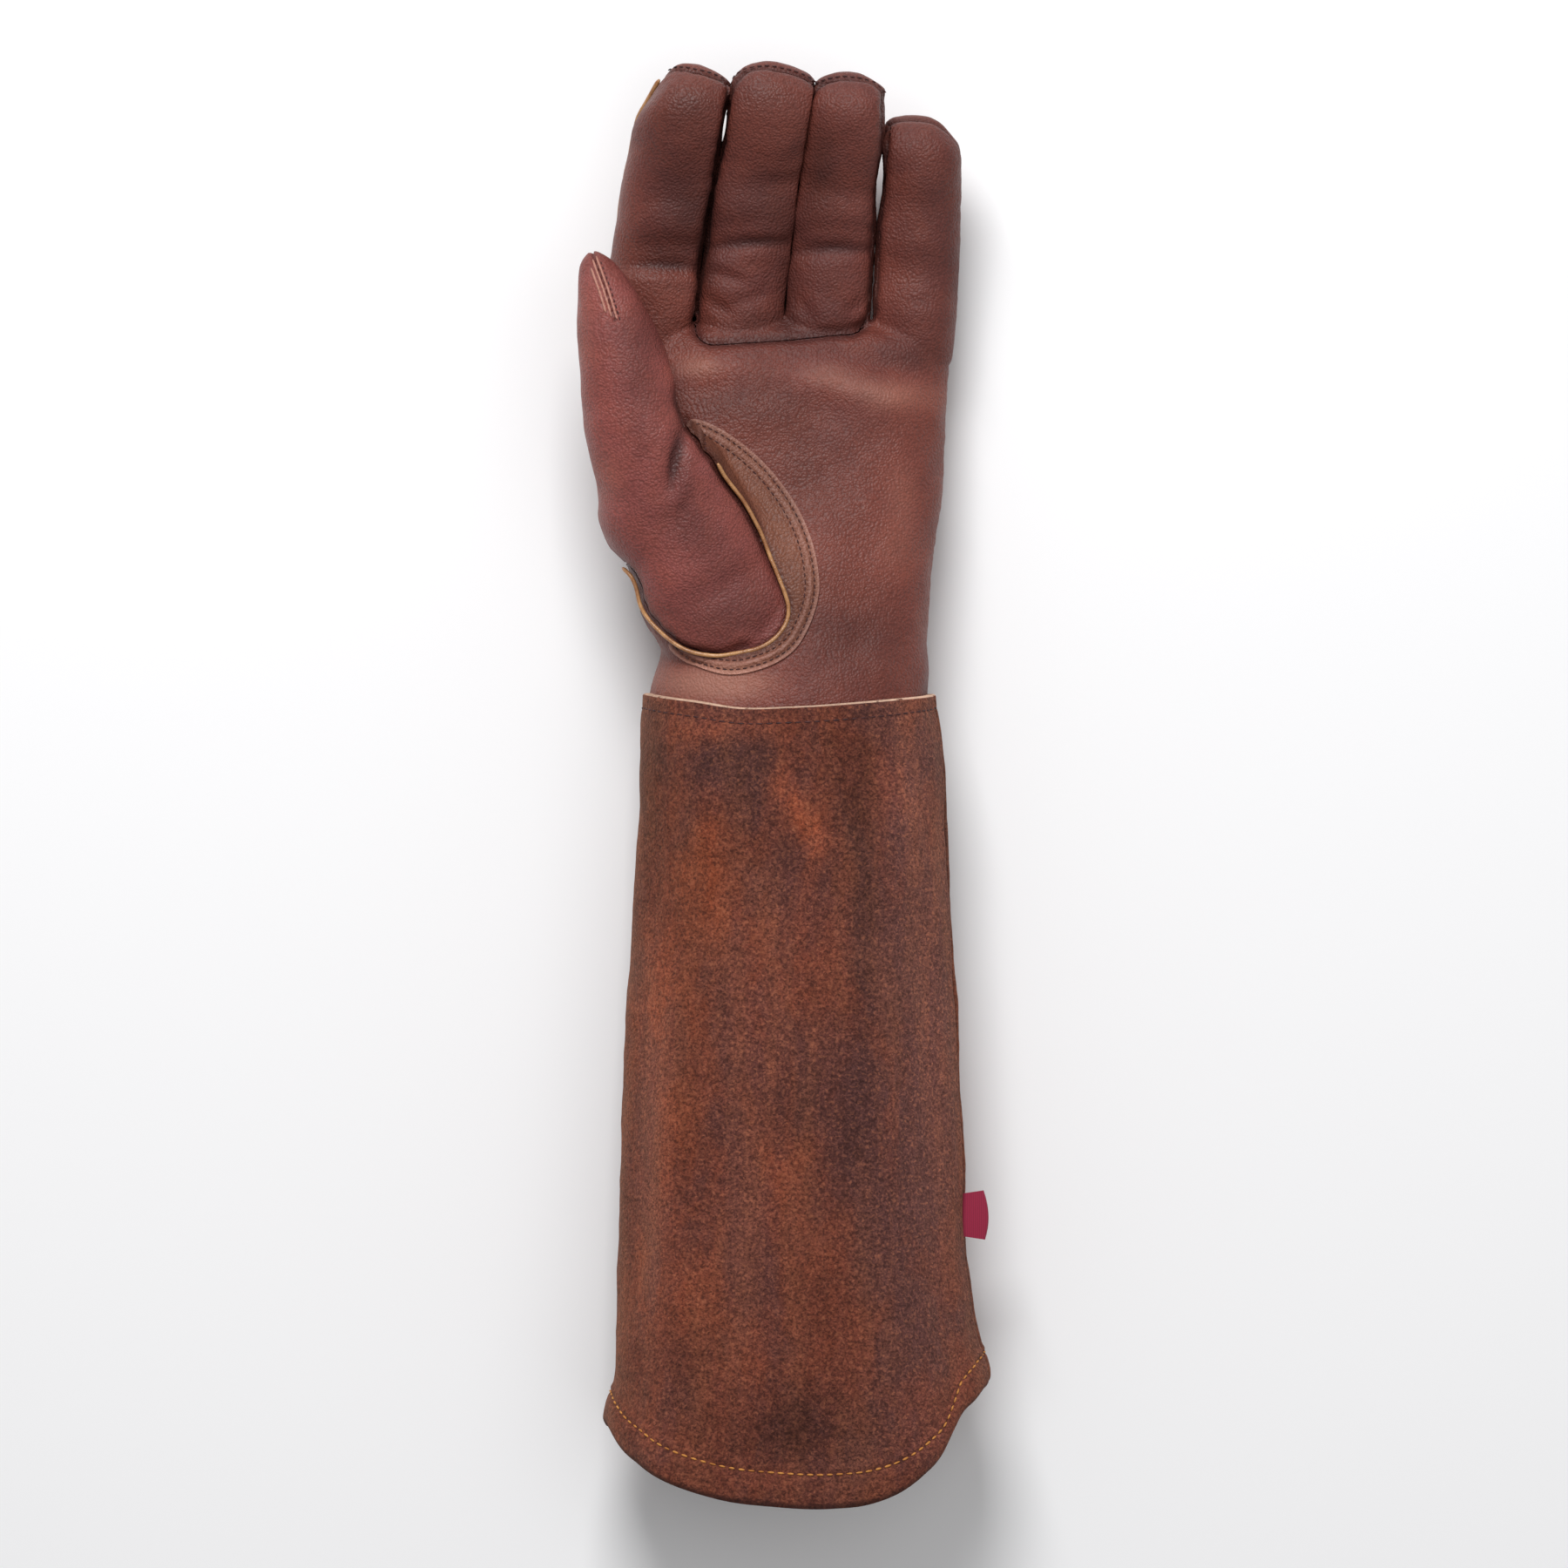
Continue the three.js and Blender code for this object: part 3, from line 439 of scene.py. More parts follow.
def line_distance(points, line):
    """How far points lie from a line of places, seen from above."""
    nearest = np.full(len(points), 1e9)
    for (ax, ay), (bx, by) in zip(line[:-1], line[1:]):
        px, py, dx, dy = points[:, 0] - ax, points[:, 1] - ay, bx - ax, by - ay
        t = np.clip((px * dx + py * dy) / (dx * dx + dy * dy + 1e-12), 0, 1)
        nearest = np.minimum(nearest, np.hypot(px - t * dx, py - t * dy))
    return nearest


def inside_outline(points, outline):
    """How far inside a closed outline points lie, seen from above. It is negative outside."""
    rounded = np.array(outline, float)
    for _ in range(3):
        ahead = np.roll(rounded[:-1], -1, 0)
        rounded = np.stack([0.75 * rounded[:-1] + 0.25 * ahead, 0.25 * rounded[:-1] + 0.75 * ahead], 1)
        rounded = rounded.reshape(-1, 2)
        rounded = np.concatenate([rounded, rounded[:1]])
    inside = np.zeros(len(points), bool)
    for (ax, ay), (bx, by) in zip(rounded[:-1], rounded[1:]):
        crosses = (ay > points[:, 1]) != (by > points[:, 1])
        at = ax + (points[:, 1] - ay) / (by - ay + 1e-12) * (bx - ax)
        inside ^= crosses & (points[:, 0] < at)
    nearest = line_distance(points, rounded)
    return np.where(inside, nearest, -nearest)


def cutting_fields(points):
    """The fields that the pieces are cut from the skin by, in millimetres from their seams."""
    x, y, z = points.T
    left, right, low, high, seam = hand_section(y)
    middle_x, middle_z = (left + right) / 2, (low + high) / 2
    hand_out = outside(x - middle_x, z - middle_z, (right - left) / 2, (high - low) / 2)
    hand_out = np.maximum(hand_out, y - hand_length)
    radial_seam, ulnar_seam = middle_z - seam * (high - low) / 2, middle_z
    over = np.clip((x - left) / (right - left), 0, 1)
    hand_side = z - (radial_seam + (ulnar_seam - radial_seam) * over)

    stations = np.linspace(-0.05, 0.999, 140)
    fingers = {}
    for name in finger_rows:
        near, u, w, along, half, deep = place_along(points, finger_path(name, stations))
        out = outside(u, w, half, deep)
        out = np.where(near == 0, np.maximum(out, -along), out)
        out = np.where(near == len(stations) - 1, np.hypot(np.maximum(out, 0), along), out)
        side = w + (0.6 * deep * np.clip(-u / half, 0, 1) if name == "index" else 0)
        fingers[name] = {"out": out, "u": u, "w": w, "half": half, "side": side, "s": stations[near]}
    names = list(finger_rows)
    owner = np.argmin([fingers[n]["out"] for n in names], axis=0)
    finger = {key: np.choose(owner, [fingers[n][key] for n in names]) for key in fingers["index"]}
    onto_finger = smooth(y, 104, 124)
    side = hand_side * (1 - onto_finger) + finger["side"] * onto_finger

    width = 5.8 * (1 - 0.5 * np.clip(finger["s"], 0, 1)) * (1 - smooth(finger["s"], 0.93, 1.0))
    inward = ((finger["u"] > 0) & (owner < 3)) | ((finger["u"] < 0) & (owner > 0))
    strip = np.minimum(width - np.abs(finger["w"]), np.abs(finger["u"]) - 0.5 * finger["half"])
    strip = np.minimum(strip, y - 119.5)
    strip = np.where(inward, strip, -30)

    thumb = np.minimum(hand_out, finger["out"])
    stations = np.linspace(0.2, 11, 140)
    near, u, w, along, half, deep = place_along(points, thumb_path(stations))
    thumb_out = outside(u, w, half, deep)
    thumb_out = np.where(near == len(stations) - 1, np.maximum(thumb_out, along), thumb_out)
    thumb_out = np.where(near == 0, np.maximum(thumb_out, -2 * along), thumb_out)
    thumb = thumb - thumb_out
    fuller = 7 * smooth(z, 12, 30) * smooth(-y, -92, -76)
    base = np.minimum(inside_outline(points, thumb_base), z - 22 + 60 * smooth(y, 42, 75))
    thumb = np.where(y < 130, -np.logaddexp(-(thumb + fuller), -base), thumb)

    lines = [finger_line(n, y) for n in names]
    gap_lines = [(lines[k] + lines[k + 1]) / 2 for k in range(3)]
    across = np.minimum(x - gap_lines[0], gap_lines[2] - x)
    above = y - (113.6 + 0.09 * (x + 22))
    corner = 7.0
    rounded = corner - np.hypot(np.maximum(corner - across, 0), np.maximum(corner - above, 0))
    fronts = np.where((across < corner) & (above < corner), rounded, np.minimum(across, above))
    return {"side": side, "strip": strip, "thumb": thumb, "fronts": fronts, "along": y}


def folded_skin():
    """The skin with its folds, and the fields that its pieces are cut by."""
    points, triangles = joined_skin()
    normals = normals_of(points, triangles)
    up = smooth(normals[:, 2], 0.0, 0.5)
    down = smooth(-normals[:, 2], 0.0, 0.5)
    x, y, _ = points.T
    fields = cutting_fields(points)
    names = list(finger_rows)
    lines = [finger_line(n, y) for n in names]
    zone = sum((x > (lines[k] + lines[k + 1]) / 2).astype(int) for k in range(3))
    lift = np.zeros(len(points))
    relief = np.zeros(len(points))
    for fold_x, fold_y, turn, half_length, fold_width, depth in fold_rows:
        c, s = math.cos(math.radians(turn)), math.sin(math.radians(turn))
        along = (x - fold_x) * c + (y - fold_y) * s
        away = (y - fold_y) * c - (x - fold_x) * s
        away = away + 0.06 * half_length * (along / half_length) ** 2
        fade = bump(along, half_length * 0.75)
        if fold_y > 119:
            at = np.array(fold_y)
            middles = [finger_line(n, at) for n in names]
            fade = fade * (zone == sum(fold_x > (middles[k] + middles[k + 1]) / 2 for k in range(3)))
        lift -= up * fade * depth * bump(away, fold_width)
        # The folds' relief, kept for painted highlights on the ridges and painted shade in the creases
        relief -= up * fade * depth * bump(away, fold_width) * (0.8 if fold_width < 2.5 else 0.22)
        if fold_width < 2.5:
            lift += up * fade * depth * 0.45 * (bump(away - 2.2 * fold_width, fold_width * 1.3)
                                                + bump(away + 2.2 * fold_width, fold_width * 1.3))
    lift += up * 0.8 * bump(fields["fronts"] - 5, 4.5) * (fields["side"] > 0)
    lift += 0.42 * ripple(points, 34, 1) + 0.16 * ripple(points, 13, 2) + 0.05 * ripple(points, 5, 3)
    hollow = palm_hollow * bump(x - 0.06 * hand_width, 0.2 * hand_width) * bump(y / hand_length - 0.62, 0.24)
    lift -= up * hollow * smooth(fields["thumb"], 1, -6)
    drawn = bump(y - elastic_place, 19) * smooth(y, 2, 12)
    waves = np.cos(2 * np.pi * x / gather_pitch + 0.9 * np.sin(y / 9)) * (1 + 0.35 * ripple(points, 21, 4))
    lift -= down * (elastic_pinch * bump(y - elastic_place, 7) + gather_depth * drawn * waves)
    points = points + normals * lift[:, None]
    points[:, 1] -= 5 * bump(x + 50, 11) * smooth(y, 178, 200) + 2.5 * bump(x - 56, 8) * smooth(y, 168, 188)
    points[:, 1] -= 1.3 * bump(x - 31, 6) * smooth(y, 186, 200)
    points[:, 0] += sum(shift * spot(x, y, *place) for *place, shift in set_over_rows)
    points[:, 2] = np.maximum(points[:, 2], 0.0)
    normals = normals_of(points, triangles)
    fields["relief"] = relief
    for k in range(3):
        fields[f"gap{k}"] = np.minimum(x - lines[k], lines[k + 1] - x)
    return {"points": points, "normals": normals, "triangles": triangles, **fields}


def cut(skin, field):
    """The part of a skin where a field is above zero, with its border on the field's zero line."""
    triangles = skin["triangles"]
    inside = field > 0
    count = inside[triangles].sum(1)

    def turned(rows, first):
        return np.stack([rows[np.arange(len(rows)), (first + k) % 3] for k in range(3)], -1)

    one, two = triangles[count == 1], triangles[count == 2]
    one = turned(one, np.argmax(inside[one], axis=1))
    two = turned(two, np.argmin(inside[two], axis=1))
    odd = np.concatenate([one, two])
    edges = np.sort(np.concatenate([odd[:, [0, 1]], odd[:, [0, 2]]]), axis=1)
    ends, place = np.unique(edges, axis=0, return_inverse=True)
    place = place.reshape(-1) + len(field)
    near, far = place[:len(odd)], place[len(odd):]
    n = len(one)
    triangles = np.concatenate([
        triangles[count == 3],
        np.stack([one[:, 0], near[:n], far[:n]], -1),
        np.stack([two[:, 1], two[:, 2], far[n:]], -1),
        np.stack([two[:, 1], far[n:], near[n:]], -1),
    ])
    start, end = field[ends[:, 0]], field[ends[:, 1]]
    t = start / (start - end)
    used, compact = np.unique(triangles, return_inverse=True)
    part = {"border": np.concatenate([field, np.zeros(len(ends))])[used]}
    for key, values in skin.items():
        if key in ("triangles", "border"):
            continue
        mix = t[:, None] if values.ndim == 2 else t
        between = values[ends[:, 0]] * (1 - mix) + values[ends[:, 1]] * mix
        part[key] = np.concatenate([values, between])[used]
    part["triangles"] = compact.reshape(-1, 3)
    length = np.linalg.norm(part["normals"], axis=1, keepdims=True)
    part["normals"] = part["normals"] / np.maximum(length, 1e-9)
    return part


def border_edges(triangles):
    """The edges that only one triangle has, in that triangle's direction."""
    edges = np.concatenate([triangles[:, [0, 1]], triangles[:, [1, 2]], triangles[:, [2, 0]]])
    _, first, count = np.unique(np.sort(edges, axis=1), axis=0, return_index=True, return_counts=True)
    return edges[first[count == 1]]


def keep_values(mesh, **values):
    """Named values at a mesh's points, for its material."""
    for key, value in values.items():
        layer = mesh.attributes.new(key, "FLOAT", "POINT")
        layer.data.foreach_set("value", np.asarray(value, np.float32))


def walled(triangles, count):
    """The triangles of a sheet, of its inner side and of the rim that joins them."""
    edges = border_edges(triangles)
    a, b = edges[:, 0], edges[:, 1]
    rim = np.concatenate([np.stack([b, a, a + count], -1), np.stack([b, a + count, b + count], -1)])
    return np.concatenate([triangles, triangles[:, ::-1] + count, rim])


sharp_fold = math.radians(62)


def leather_sheet(name, part, wall, **values):
    """A closed piece of leather under a skin part, with its place in its mesh, in metres."""
    points = part["points"]
    faces = walled(part["triangles"], len(points))
    inner = points - part["normals"] * wall
    mesh = bpy.data.meshes.new(name)
    place = (np.concatenate([points, inner]) + glove_origin) / 1000
    mesh.vertices.add(len(place))
    mesh.vertices.foreach_set("co", place.ravel())
    mesh.loops.add(len(faces) * 3)
    mesh.loops.foreach_set("vertex_index", faces.ravel().astype(np.int32))
    mesh.polygons.add(len(faces))
    mesh.polygons.foreach_set("loop_start", np.arange(0, len(faces) * 3, 3, dtype=np.int32))
    keep_values(mesh, **{key: np.tile(value, 2) for key, value in values.items()})
    mesh.update(calc_edges=True)
    mesh.validate()
    mesh.shade_smooth()
    mesh.set_sharp_from_angle(angle=sharp_fold)
    return in_scene(name, mesh)


def seam_lines(skin, field, keep, step):
    """The lines where a field is zero, as evenly spaced points with the skin's normals, longest first."""
    triangles = skin["triangles"]
    inside = field > 0
    count = inside[triangles].sum(1)
    crossed = triangles[(count > 0) & (count < 3)]
    rows = np.stack([crossed[:, [0, 1]], crossed[:, [1, 2]], crossed[:, [2, 0]]], 1)
    split = inside[rows[..., 0]] != inside[rows[..., 1]]
    pairs = np.sort(rows[split].reshape(-1, 2, 2), axis=-1)
    ends, place = np.unique(pairs.reshape(-1, 2), axis=0, return_inverse=True)
    segments = place.reshape(-1, 2)
    start, end = field[ends[:, 0]], field[ends[:, 1]]
    t = (start / (start - end))[:, None]
    points = skin["points"][ends[:, 0]] * (1 - t) + skin["points"][ends[:, 1]] * t
    normals = skin["normals"][ends[:, 0]] * (1 - t) + skin["normals"][ends[:, 1]] * t
    shown = keep(points, normals)
    joined = {}
    for a, b in segments.tolist():
        if shown[a] and shown[b]:
            joined.setdefault(a, []).append(b)
            joined.setdefault(b, []).append(a)
    lines = []
    while joined:
        first = next((k for k in joined if len(joined[k]) == 1), next(iter(joined)))
        chain = [first]
        while joined.get(chain[-1]):
            here = chain[-1]
            following = joined[here].pop()
            joined[following].remove(here)
            if not joined[here]:
                del joined[here]
            chain.append(following)
        for k in chain:
            if k in joined and not joined[k]:
                del joined[k]
        lines.append((points[chain], normals[chain]))
    lines.sort(key=lambda line: -len(line[0]))
    return [even_line(*line, step) for line in lines if len(line[0]) > 8]


def even_line(points, normals, step, ease=3):
    """A line at an even spacing, slightly eased, with unit normals."""
    closed = np.linalg.norm(points[0] - points[-1]) < 1e-6
    walked = np.concatenate([[0], np.cumsum(np.linalg.norm(np.diff(points, axis=0), axis=1))])
    at = np.linspace(0, walked[-1], max(3, int(round(walked[-1] / step)) + 1))
    points = np.stack([np.interp(at, walked, points[:, k]) for k in range(3)], -1)
    normals = np.stack([np.interp(at, walked, normals[:, k]) for k in range(3)], -1)
    for _ in range(ease):
        if closed:
            ring = points[:-1]
            ring = (np.roll(ring, 1, 0) + 2 * ring + np.roll(ring, -1, 0)) / 4
            points = np.concatenate([ring, ring[:1]])
        else:
            points[1:-1] = (points[:-2] + 2 * points[1:-1] + points[2:]) / 4
    return points, normals / np.linalg.norm(normals, axis=1, keepdims=True)


# The palm
# Soft grain leather, cut in one with the fronts of the index and little fingers. It wraps round the thumb
# side to a piped seam on the back, and its seams are sewn from the inside, so that their edges turn in.
skin = folded_skin()
leather_wall = 1.2
seam_half = 0.14
hand_mouth = -14
in_hand = skin["along"] - hand_mouth
palm_part = np.minimum.reduce([skin["side"], -skin["fronts"], -skin["strip"], -skin["thumb"], in_hand])


def turned_in(part, dip=0.95, reach=1.15):
    """A part of the skin with its edges drawn in towards their seams, and puckered there."""
    border = part["border"]
    lift = -dip * np.exp(-(border / reach) ** 1.6) + 0.2 * bump(border - 3.2, 1.6)
    lift -= 0.22 * (1 + ripple(part["points"], 5, 7)) * np.exp(-(border / 3.2) ** 2)
    part["points"] = part["points"] + part["normals"] * lift[:, None]
    return part


# Painted light and shade on the leather: where it is painted lighter (above 0), as highlights on ridges and
# bulges, or darker (below 0), as shade between the fingers, in creases and on faces turned from the light:
# place, half sizes and how much
tone_rows = [
    (-30, 156, 9, 9, -0.3), (-31, 190, 10, 8, -0.3), (-7, 193, 11, 7, -0.22), (-52, 172, 6, 26, 0.32),
    (-36, 168, 12, 22, -0.16), (-7, 160, 11, 9, -0.25), (0, 149, 9, 9, -0.15), (-12, 136, 9, 8, 0.12),
    (10, 168, 6, 14, -0.42), (-0.5, 130, 3.5, 14, -0.35), (-26, 136, 3, 12, -0.35),
    (26, 130, 7, 12, 0.3), (-41, 142, 13, 5, -0.3), (-31, 126, 9, 6, 0.15), (-66, 110, 7, 34, 0.35),
    (-47, 108, 7, 22, -0.25), (-58, 68, 9, 16, 0.35), (-32, 53, 8, 8, -0.3), (-33.5, 71, 4, 12, -0.34),
    (-38, 40, 11, 13, 0.14), (44, 160, 12, 30, -0.12), (-29, 106, 12, 6, 0.5), (11, 104, 14, 6, 0.4),
    (33, 97, 17, 7, 0.48), (42, 109, 12, 4, -0.25), (-21, 94, 13, 6, -0.2), (-2, 94, 11, 8, -0.15),
    (4, 72, 8, 14, -0.2), (36, 66, 9, 15, 0.35), (34, 46, 13, 10, 0.25), (52, 50, 6, 50, 0.4),
    (20, 20, 17, 10, -0.24), (-43, 20, 5, 9, 0.4), (44, 24, 8, 14, 0.35), (-24, 5, 26, 8, 0.75),
    (6, 50, 10, 8, 0.25), (4, 4, 12, 6, -0.1), (-10, 34, 13, 12, -0.22), (-26, 27, 12, 8, -0.2),
    (-4, 120, 22, 4, -0.2),
]


# Painted light and shade over points of the leather, from the table above
def tone_of(points):
    return sum(amount * spot(points[:, 0], points[:, 1], *place) for *place, amount in tone_rows)


def leather_piece(name, field, slit=None):
    part = turned_in(cut(skin, field - seam_half))
    edge = np.clip(part["border"], 0, 12)
    if slit is not None:
        away = np.where(part["points"][:, 2] > 45, line_distance(part["points"], slit), 50)
        part["points"] = part["points"] - part["normals"] * (1.1 * bump(away, 0.75))[:, None]
        # The slit's groove is darkened too, as painted shade in it
        edge = np.minimum(edge, 0.2 + 2.4 * away)
    return leather_sheet(name, part, leather_wall, worn=part["relief"], edge=edge,
                         tone=tone_of(part["points"]))


def add(tree, kind, inputs=None, **settings):
    """A node with its settings. Each input takes a value, or the socket that feeds it."""
    node = tree.nodes.new(kind)
    for key, value in settings.items():
        setattr(node, key, value)
    for key, value in (inputs or {}).items():
        if isinstance(value, bpy.types.NodeSocket):
            tree.links.new(value, node.inputs[key])
        else:
            node.inputs[key].default_value = value
    return node


def reckoned(tree, operation, *values):
    """A sum on values, each a number or a socket."""
    return add(tree, "ShaderNodeMath", dict(enumerate(values)), operation=operation).outputs[0]


def group(name, inputs, outputs):
    """An empty shader node group with named sockets."""
    tree = bpy.data.node_groups.new(name, "ShaderNodeTree")
    for title, kind, value in inputs:
        socket = tree.interface.new_socket(title, in_out="INPUT", socket_type=kind)
        if value is not None:
            socket.default_value = value
    for title, kind in outputs:
        tree.interface.new_socket(title, in_out="OUTPUT", socket_type=kind)
    return tree, tree.nodes.new("NodeGroupInput"), tree.nodes.new("NodeGroupOutput")


def pebble_grain():
    """The grain of leather: small pebbles with hollows between them, and fine wrinkles."""
    tree, given, made = group("pebble grain", [
        ("Place", "NodeSocketVector", None), ("Pebbles per metre", "NodeSocketFloat", 900.0),
        ("Wrinkles", "NodeSocketFloat", 0.5)], [("Height", "NodeSocketFloat"), ("Hollow", "NodeSocketFloat")])
    place = given.outputs["Place"]
    warp = add(tree, "ShaderNodeTexNoise", {"Vector": place, "Scale": 260.0, "Detail": 2.0})
    shift = add(tree, "ShaderNodeVectorMath", {0: warp.outputs["Color"], "Scale": 0.0016},
                operation="SCALE")
    moved = add(tree, "ShaderNodeVectorMath", {0: place, 1: shift.outputs["Vector"]},
                operation="ADD").outputs["Vector"]
    cells = add(tree, "ShaderNodeTexVoronoi", {
        "Vector": moved, "Scale": given.outputs["Pebbles per metre"], "Smoothness": 0.6,
        "Randomness": 1.0}, feature="SMOOTH_F1").outputs["Distance"]
    fine = add(tree, "ShaderNodeTexNoise", {"Vector": moved, "Scale": 1900.0, "Detail": 3.0})
    wrinkle = add(tree, "ShaderNodeTexNoise", {
        "Vector": moved, "Scale": 330.0, "Detail": 5.0, "Roughness": 0.6})
    ridge = reckoned(tree, "SUBTRACT", wrinkle.outputs["Fac"], 0.5)
    fold = reckoned(tree, "ABSOLUTE", ridge)
    folded = reckoned(tree, "MULTIPLY", fold, given.outputs["Wrinkles"])
    pebbled = reckoned(tree, "MULTIPLY_ADD", cells, -0.9, folded)
    height = reckoned(tree, "MULTIPLY_ADD", fine.outputs["Fac"], 0.35, pebbled)
    tree.links.new(height, made.inputs["Height"])
    tree.links.new(cells, made.inputs["Hollow"])
    return tree


def patches():
    """Soft uneven patches, from 0 to 1, as hides take dye."""
    tree, given, made = group("patches", [
        ("Place", "NodeSocketVector", None), ("Per metre", "NodeSocketFloat", 30.0),
        ("Low", "NodeSocketFloat", 0.35), ("High", "NodeSocketFloat", 0.65)], [("Mask", "NodeSocketFloat")])
    noise = add(tree, "ShaderNodeTexNoise", {
        "Vector": given.outputs["Place"], "Scale": given.outputs["Per metre"], "Detail": 5.0,
        "Roughness": 0.62, "Distortion": 0.4})
    spread = add(tree, "ShaderNodeMapRange", {
        "Value": noise.outputs["Fac"], "From Min": given.outputs["Low"],
        "From Max": given.outputs["High"]}, interpolation_type="SMOOTHSTEP")
    tree.links.new(spread.outputs["Result"], made.inputs["Mask"])
    return tree


grain_group = pebble_grain()
patches_group = patches()


def placed(tree, node_tree, place, **values):
    """A node group in a material, with its own values."""
    inputs = {key.replace("_", " "): value for key, value in values.items()}
    return add(tree, "ShaderNodeGroup", {"Place": place, **inputs}, node_tree=node_tree)


def blended(tree, factor, low, high):
    """One colour over another by a mask. Each colour is a socket or a fixed colour."""
    low, high = ((*colour, 1) if isinstance(colour, tuple) else colour for colour in (low, high))
    return add(tree, "ShaderNodeMix", {0: factor, 6: low, 7: high}, data_type="RGBA").outputs[2]


def ranged(tree, value, low, high, start=0.0, end=1.0):
    """A value moved smoothly from one range to another."""
    return add(tree, "ShaderNodeMapRange", {
        "Value": value, "From Min": low, "From Max": high, "To Min": start, "To Max": end,
    }, interpolation_type="SMOOTHSTEP").outputs["Result"]


def attribute(tree, name):
    return add(tree, "ShaderNodeAttribute", attribute_name=name).outputs["Fac"]


def new_material(name, rough, specular):
    material = bpy.data.materials.new(name)
    material.use_nodes = True
    tree = material.node_tree
    shader = tree.nodes["Principled BSDF"]
    shader.inputs["Roughness"].default_value = rough
    shader.inputs["Specular IOR Level"].default_value = specular
    place = tree.nodes.new("ShaderNodeTexCoord").outputs["Object"]
    return material, tree, shader, place


def bumped(tree, shader, height, strength, distance):
    raised = add(tree, "ShaderNodeBump", {"Strength": strength, "Distance": distance, "Height": height})
    tree.links.new(raised.outputs["Normal"], shader.inputs["Normal"])


def coloured(tree, shader, colour, evenness=1.0):
    """The shader's colour, made lighter or darker by the piece's painted light and shade, and on the suede
    also by its own uneven colour.
    """
    # Painted light and shade from the piece's attribute, lightening or darkening the colour
    value = reckoned(tree, "ADD", attribute(tree, "tone"), evenness)
    toned = add(tree, "ShaderNodeHueSaturation", {"Value": value, "Color": colour})
    tree.links.new(toned.outputs["Color"], shader.inputs["Base Color"])


def grain_leather(name, light, deep, red):
    """Reddish brown grain leather, with painted highlights on its ridges and painted shade in its creases and
    seams.
    """
    material, tree, shader, place = new_material(name, 0.5, 0.3)
    broad = placed(tree, patches_group, place, Per_metre=17.0, Low=0.38, High=0.64)
    small = placed(tree, patches_group, place, Per_metre=95.0, Low=0.35, High=0.7)
    grain = placed(tree, grain_group, place, Pebbles_per_metre=1250.0, Wrinkles=0.17)
    colour = blended(tree, broad.outputs["Mask"], deep, light)
    tint = reckoned(tree, "MULTIPLY", small.outputs["Mask"], 0.35)
    colour = blended(tree, tint, colour, red)
    hollow = ranged(tree, grain.outputs["Hollow"], 0.3, 0.75, 0.0, 0.3)
    colour = blended(tree, hollow, colour, (0.05, 0.016, 0.013))
    # Painted highlight on the ridges
    ridge_highlight = ranged(tree, attribute(tree, "worn"), 0.1, 1.1, 0.0, 0.75)
    colour = blended(tree, ridge_highlight, colour, (0.32, 0.15, 0.115))
    # Painted shade in the creases
    crease_shade = ranged(tree, attribute(tree, "worn"), -0.15, -1.1, 0.0, 0.75)
    colour = blended(tree, crease_shade, colour, (0.035, 0.012, 0.012))
    # Darker along the seams and the thumb's slit: painted shade in their grooves, and dirt
    seam = ranged(tree, attribute(tree, "edge"), 2.6, 0.0, 0.0, 0.6)
    colour = blended(tree, seam, colour, (0.04, 0.013, 0.012))
    # Painted highlight, paler, where the painted light is strongest
    painted_highlight = ranged(tree, attribute(tree, "tone"), 0.12, 0.8, 0.0, 0.4)
    colour = blended(tree, painted_highlight, colour, (0.27, 0.14, 0.1))
    coloured(tree, shader, colour)
    roughness = ranged(tree, broad.outputs["Mask"], 0.0, 1.0, 0.54, 0.44)
    tree.links.new(roughness, shader.inputs["Roughness"])
    bumped(tree, shader, grain.outputs["Height"], 0.66, 0.0006)
    return material


palm_leather = grain_leather(
    "palm leather", (0.16, 0.042, 0.03), (0.11, 0.0285, 0.023), (0.178, 0.042, 0.025))
palm = leather_piece("palm_leather", palm_part)
palm.data.materials.append(palm_leather)
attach(palm, "root")
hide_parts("palm")

# The fronts of the middle and ring fingers
# One piece of the same leather for both fingers, so that no seam crosses the grip between them. A seam
# across their roots joins it to the palm.
fronts = leather_piece("finger_fronts", np.minimum.reduce([
    skin["side"], skin["fronts"], -skin["strip"], -skin["thumb"]]))
fronts.data.materials.append(palm_leather)
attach(fronts, "root")
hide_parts("middle_finger_fronts")

# The back
# The back of the hand and of the four fingers, cut in one. It is gathered on an elastic at the wrist and
# rolls over the fingertips to a seam on their fronts.
back_leather = grain_leather(
    "back leather", (0.172, 0.048, 0.035), (0.12, 0.033, 0.026), (0.19, 0.048, 0.028))
back = leather_piece("back_leather", np.minimum.reduce([
    -skin["side"], -skin["strip"], -skin["thumb"], in_hand]))
back.data.materials.append(back_leather)
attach(back, "root")
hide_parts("back")

# The fourchettes
# Folded strips of thinner leather that make the sides of the fingers, each in one from one fingertip down
# to the crotch and up to the next fingertip.
side_leather = grain_leather("side leather", (0.14, 0.04, 0.03), (0.1, 0.029, 0.023), (0.16, 0.042, 0.026))
for k, between in enumerate(["index_middle", "middle_ring", "ring_little"]):
    strip = leather_piece(f"side_strip_{between}", np.minimum.reduce([
        skin["strip"], skin[f"gap{k}"], -skin["thumb"]]))
    strip.data.materials.append(side_leather)
    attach(strip, "root")
    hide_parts(f"fourchette_{between}")

# The thumb
# A closed tube of the palm's leather, set into an oval hole in the palm and seamed along its inner side
# over the tip.
thumb_slit = [(-62.9, 143.5), (-61.1, 138.2), (-58.2, 130.2), (-55.3, 120.6)]
# The thumb's leather is a lighter, pinker copy of the palm's: painted light on the thumb
thumb_leather = grain_leather(
    "thumb leather", (0.243, 0.064, 0.056), (0.172, 0.044, 0.038), (0.258, 0.062, 0.04))
thumb = leather_piece("thumb_leather", skin["thumb"], thumb_slit)
thumb.data.materials.append(thumb_leather)
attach(thumb, "root")
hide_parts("thumb")

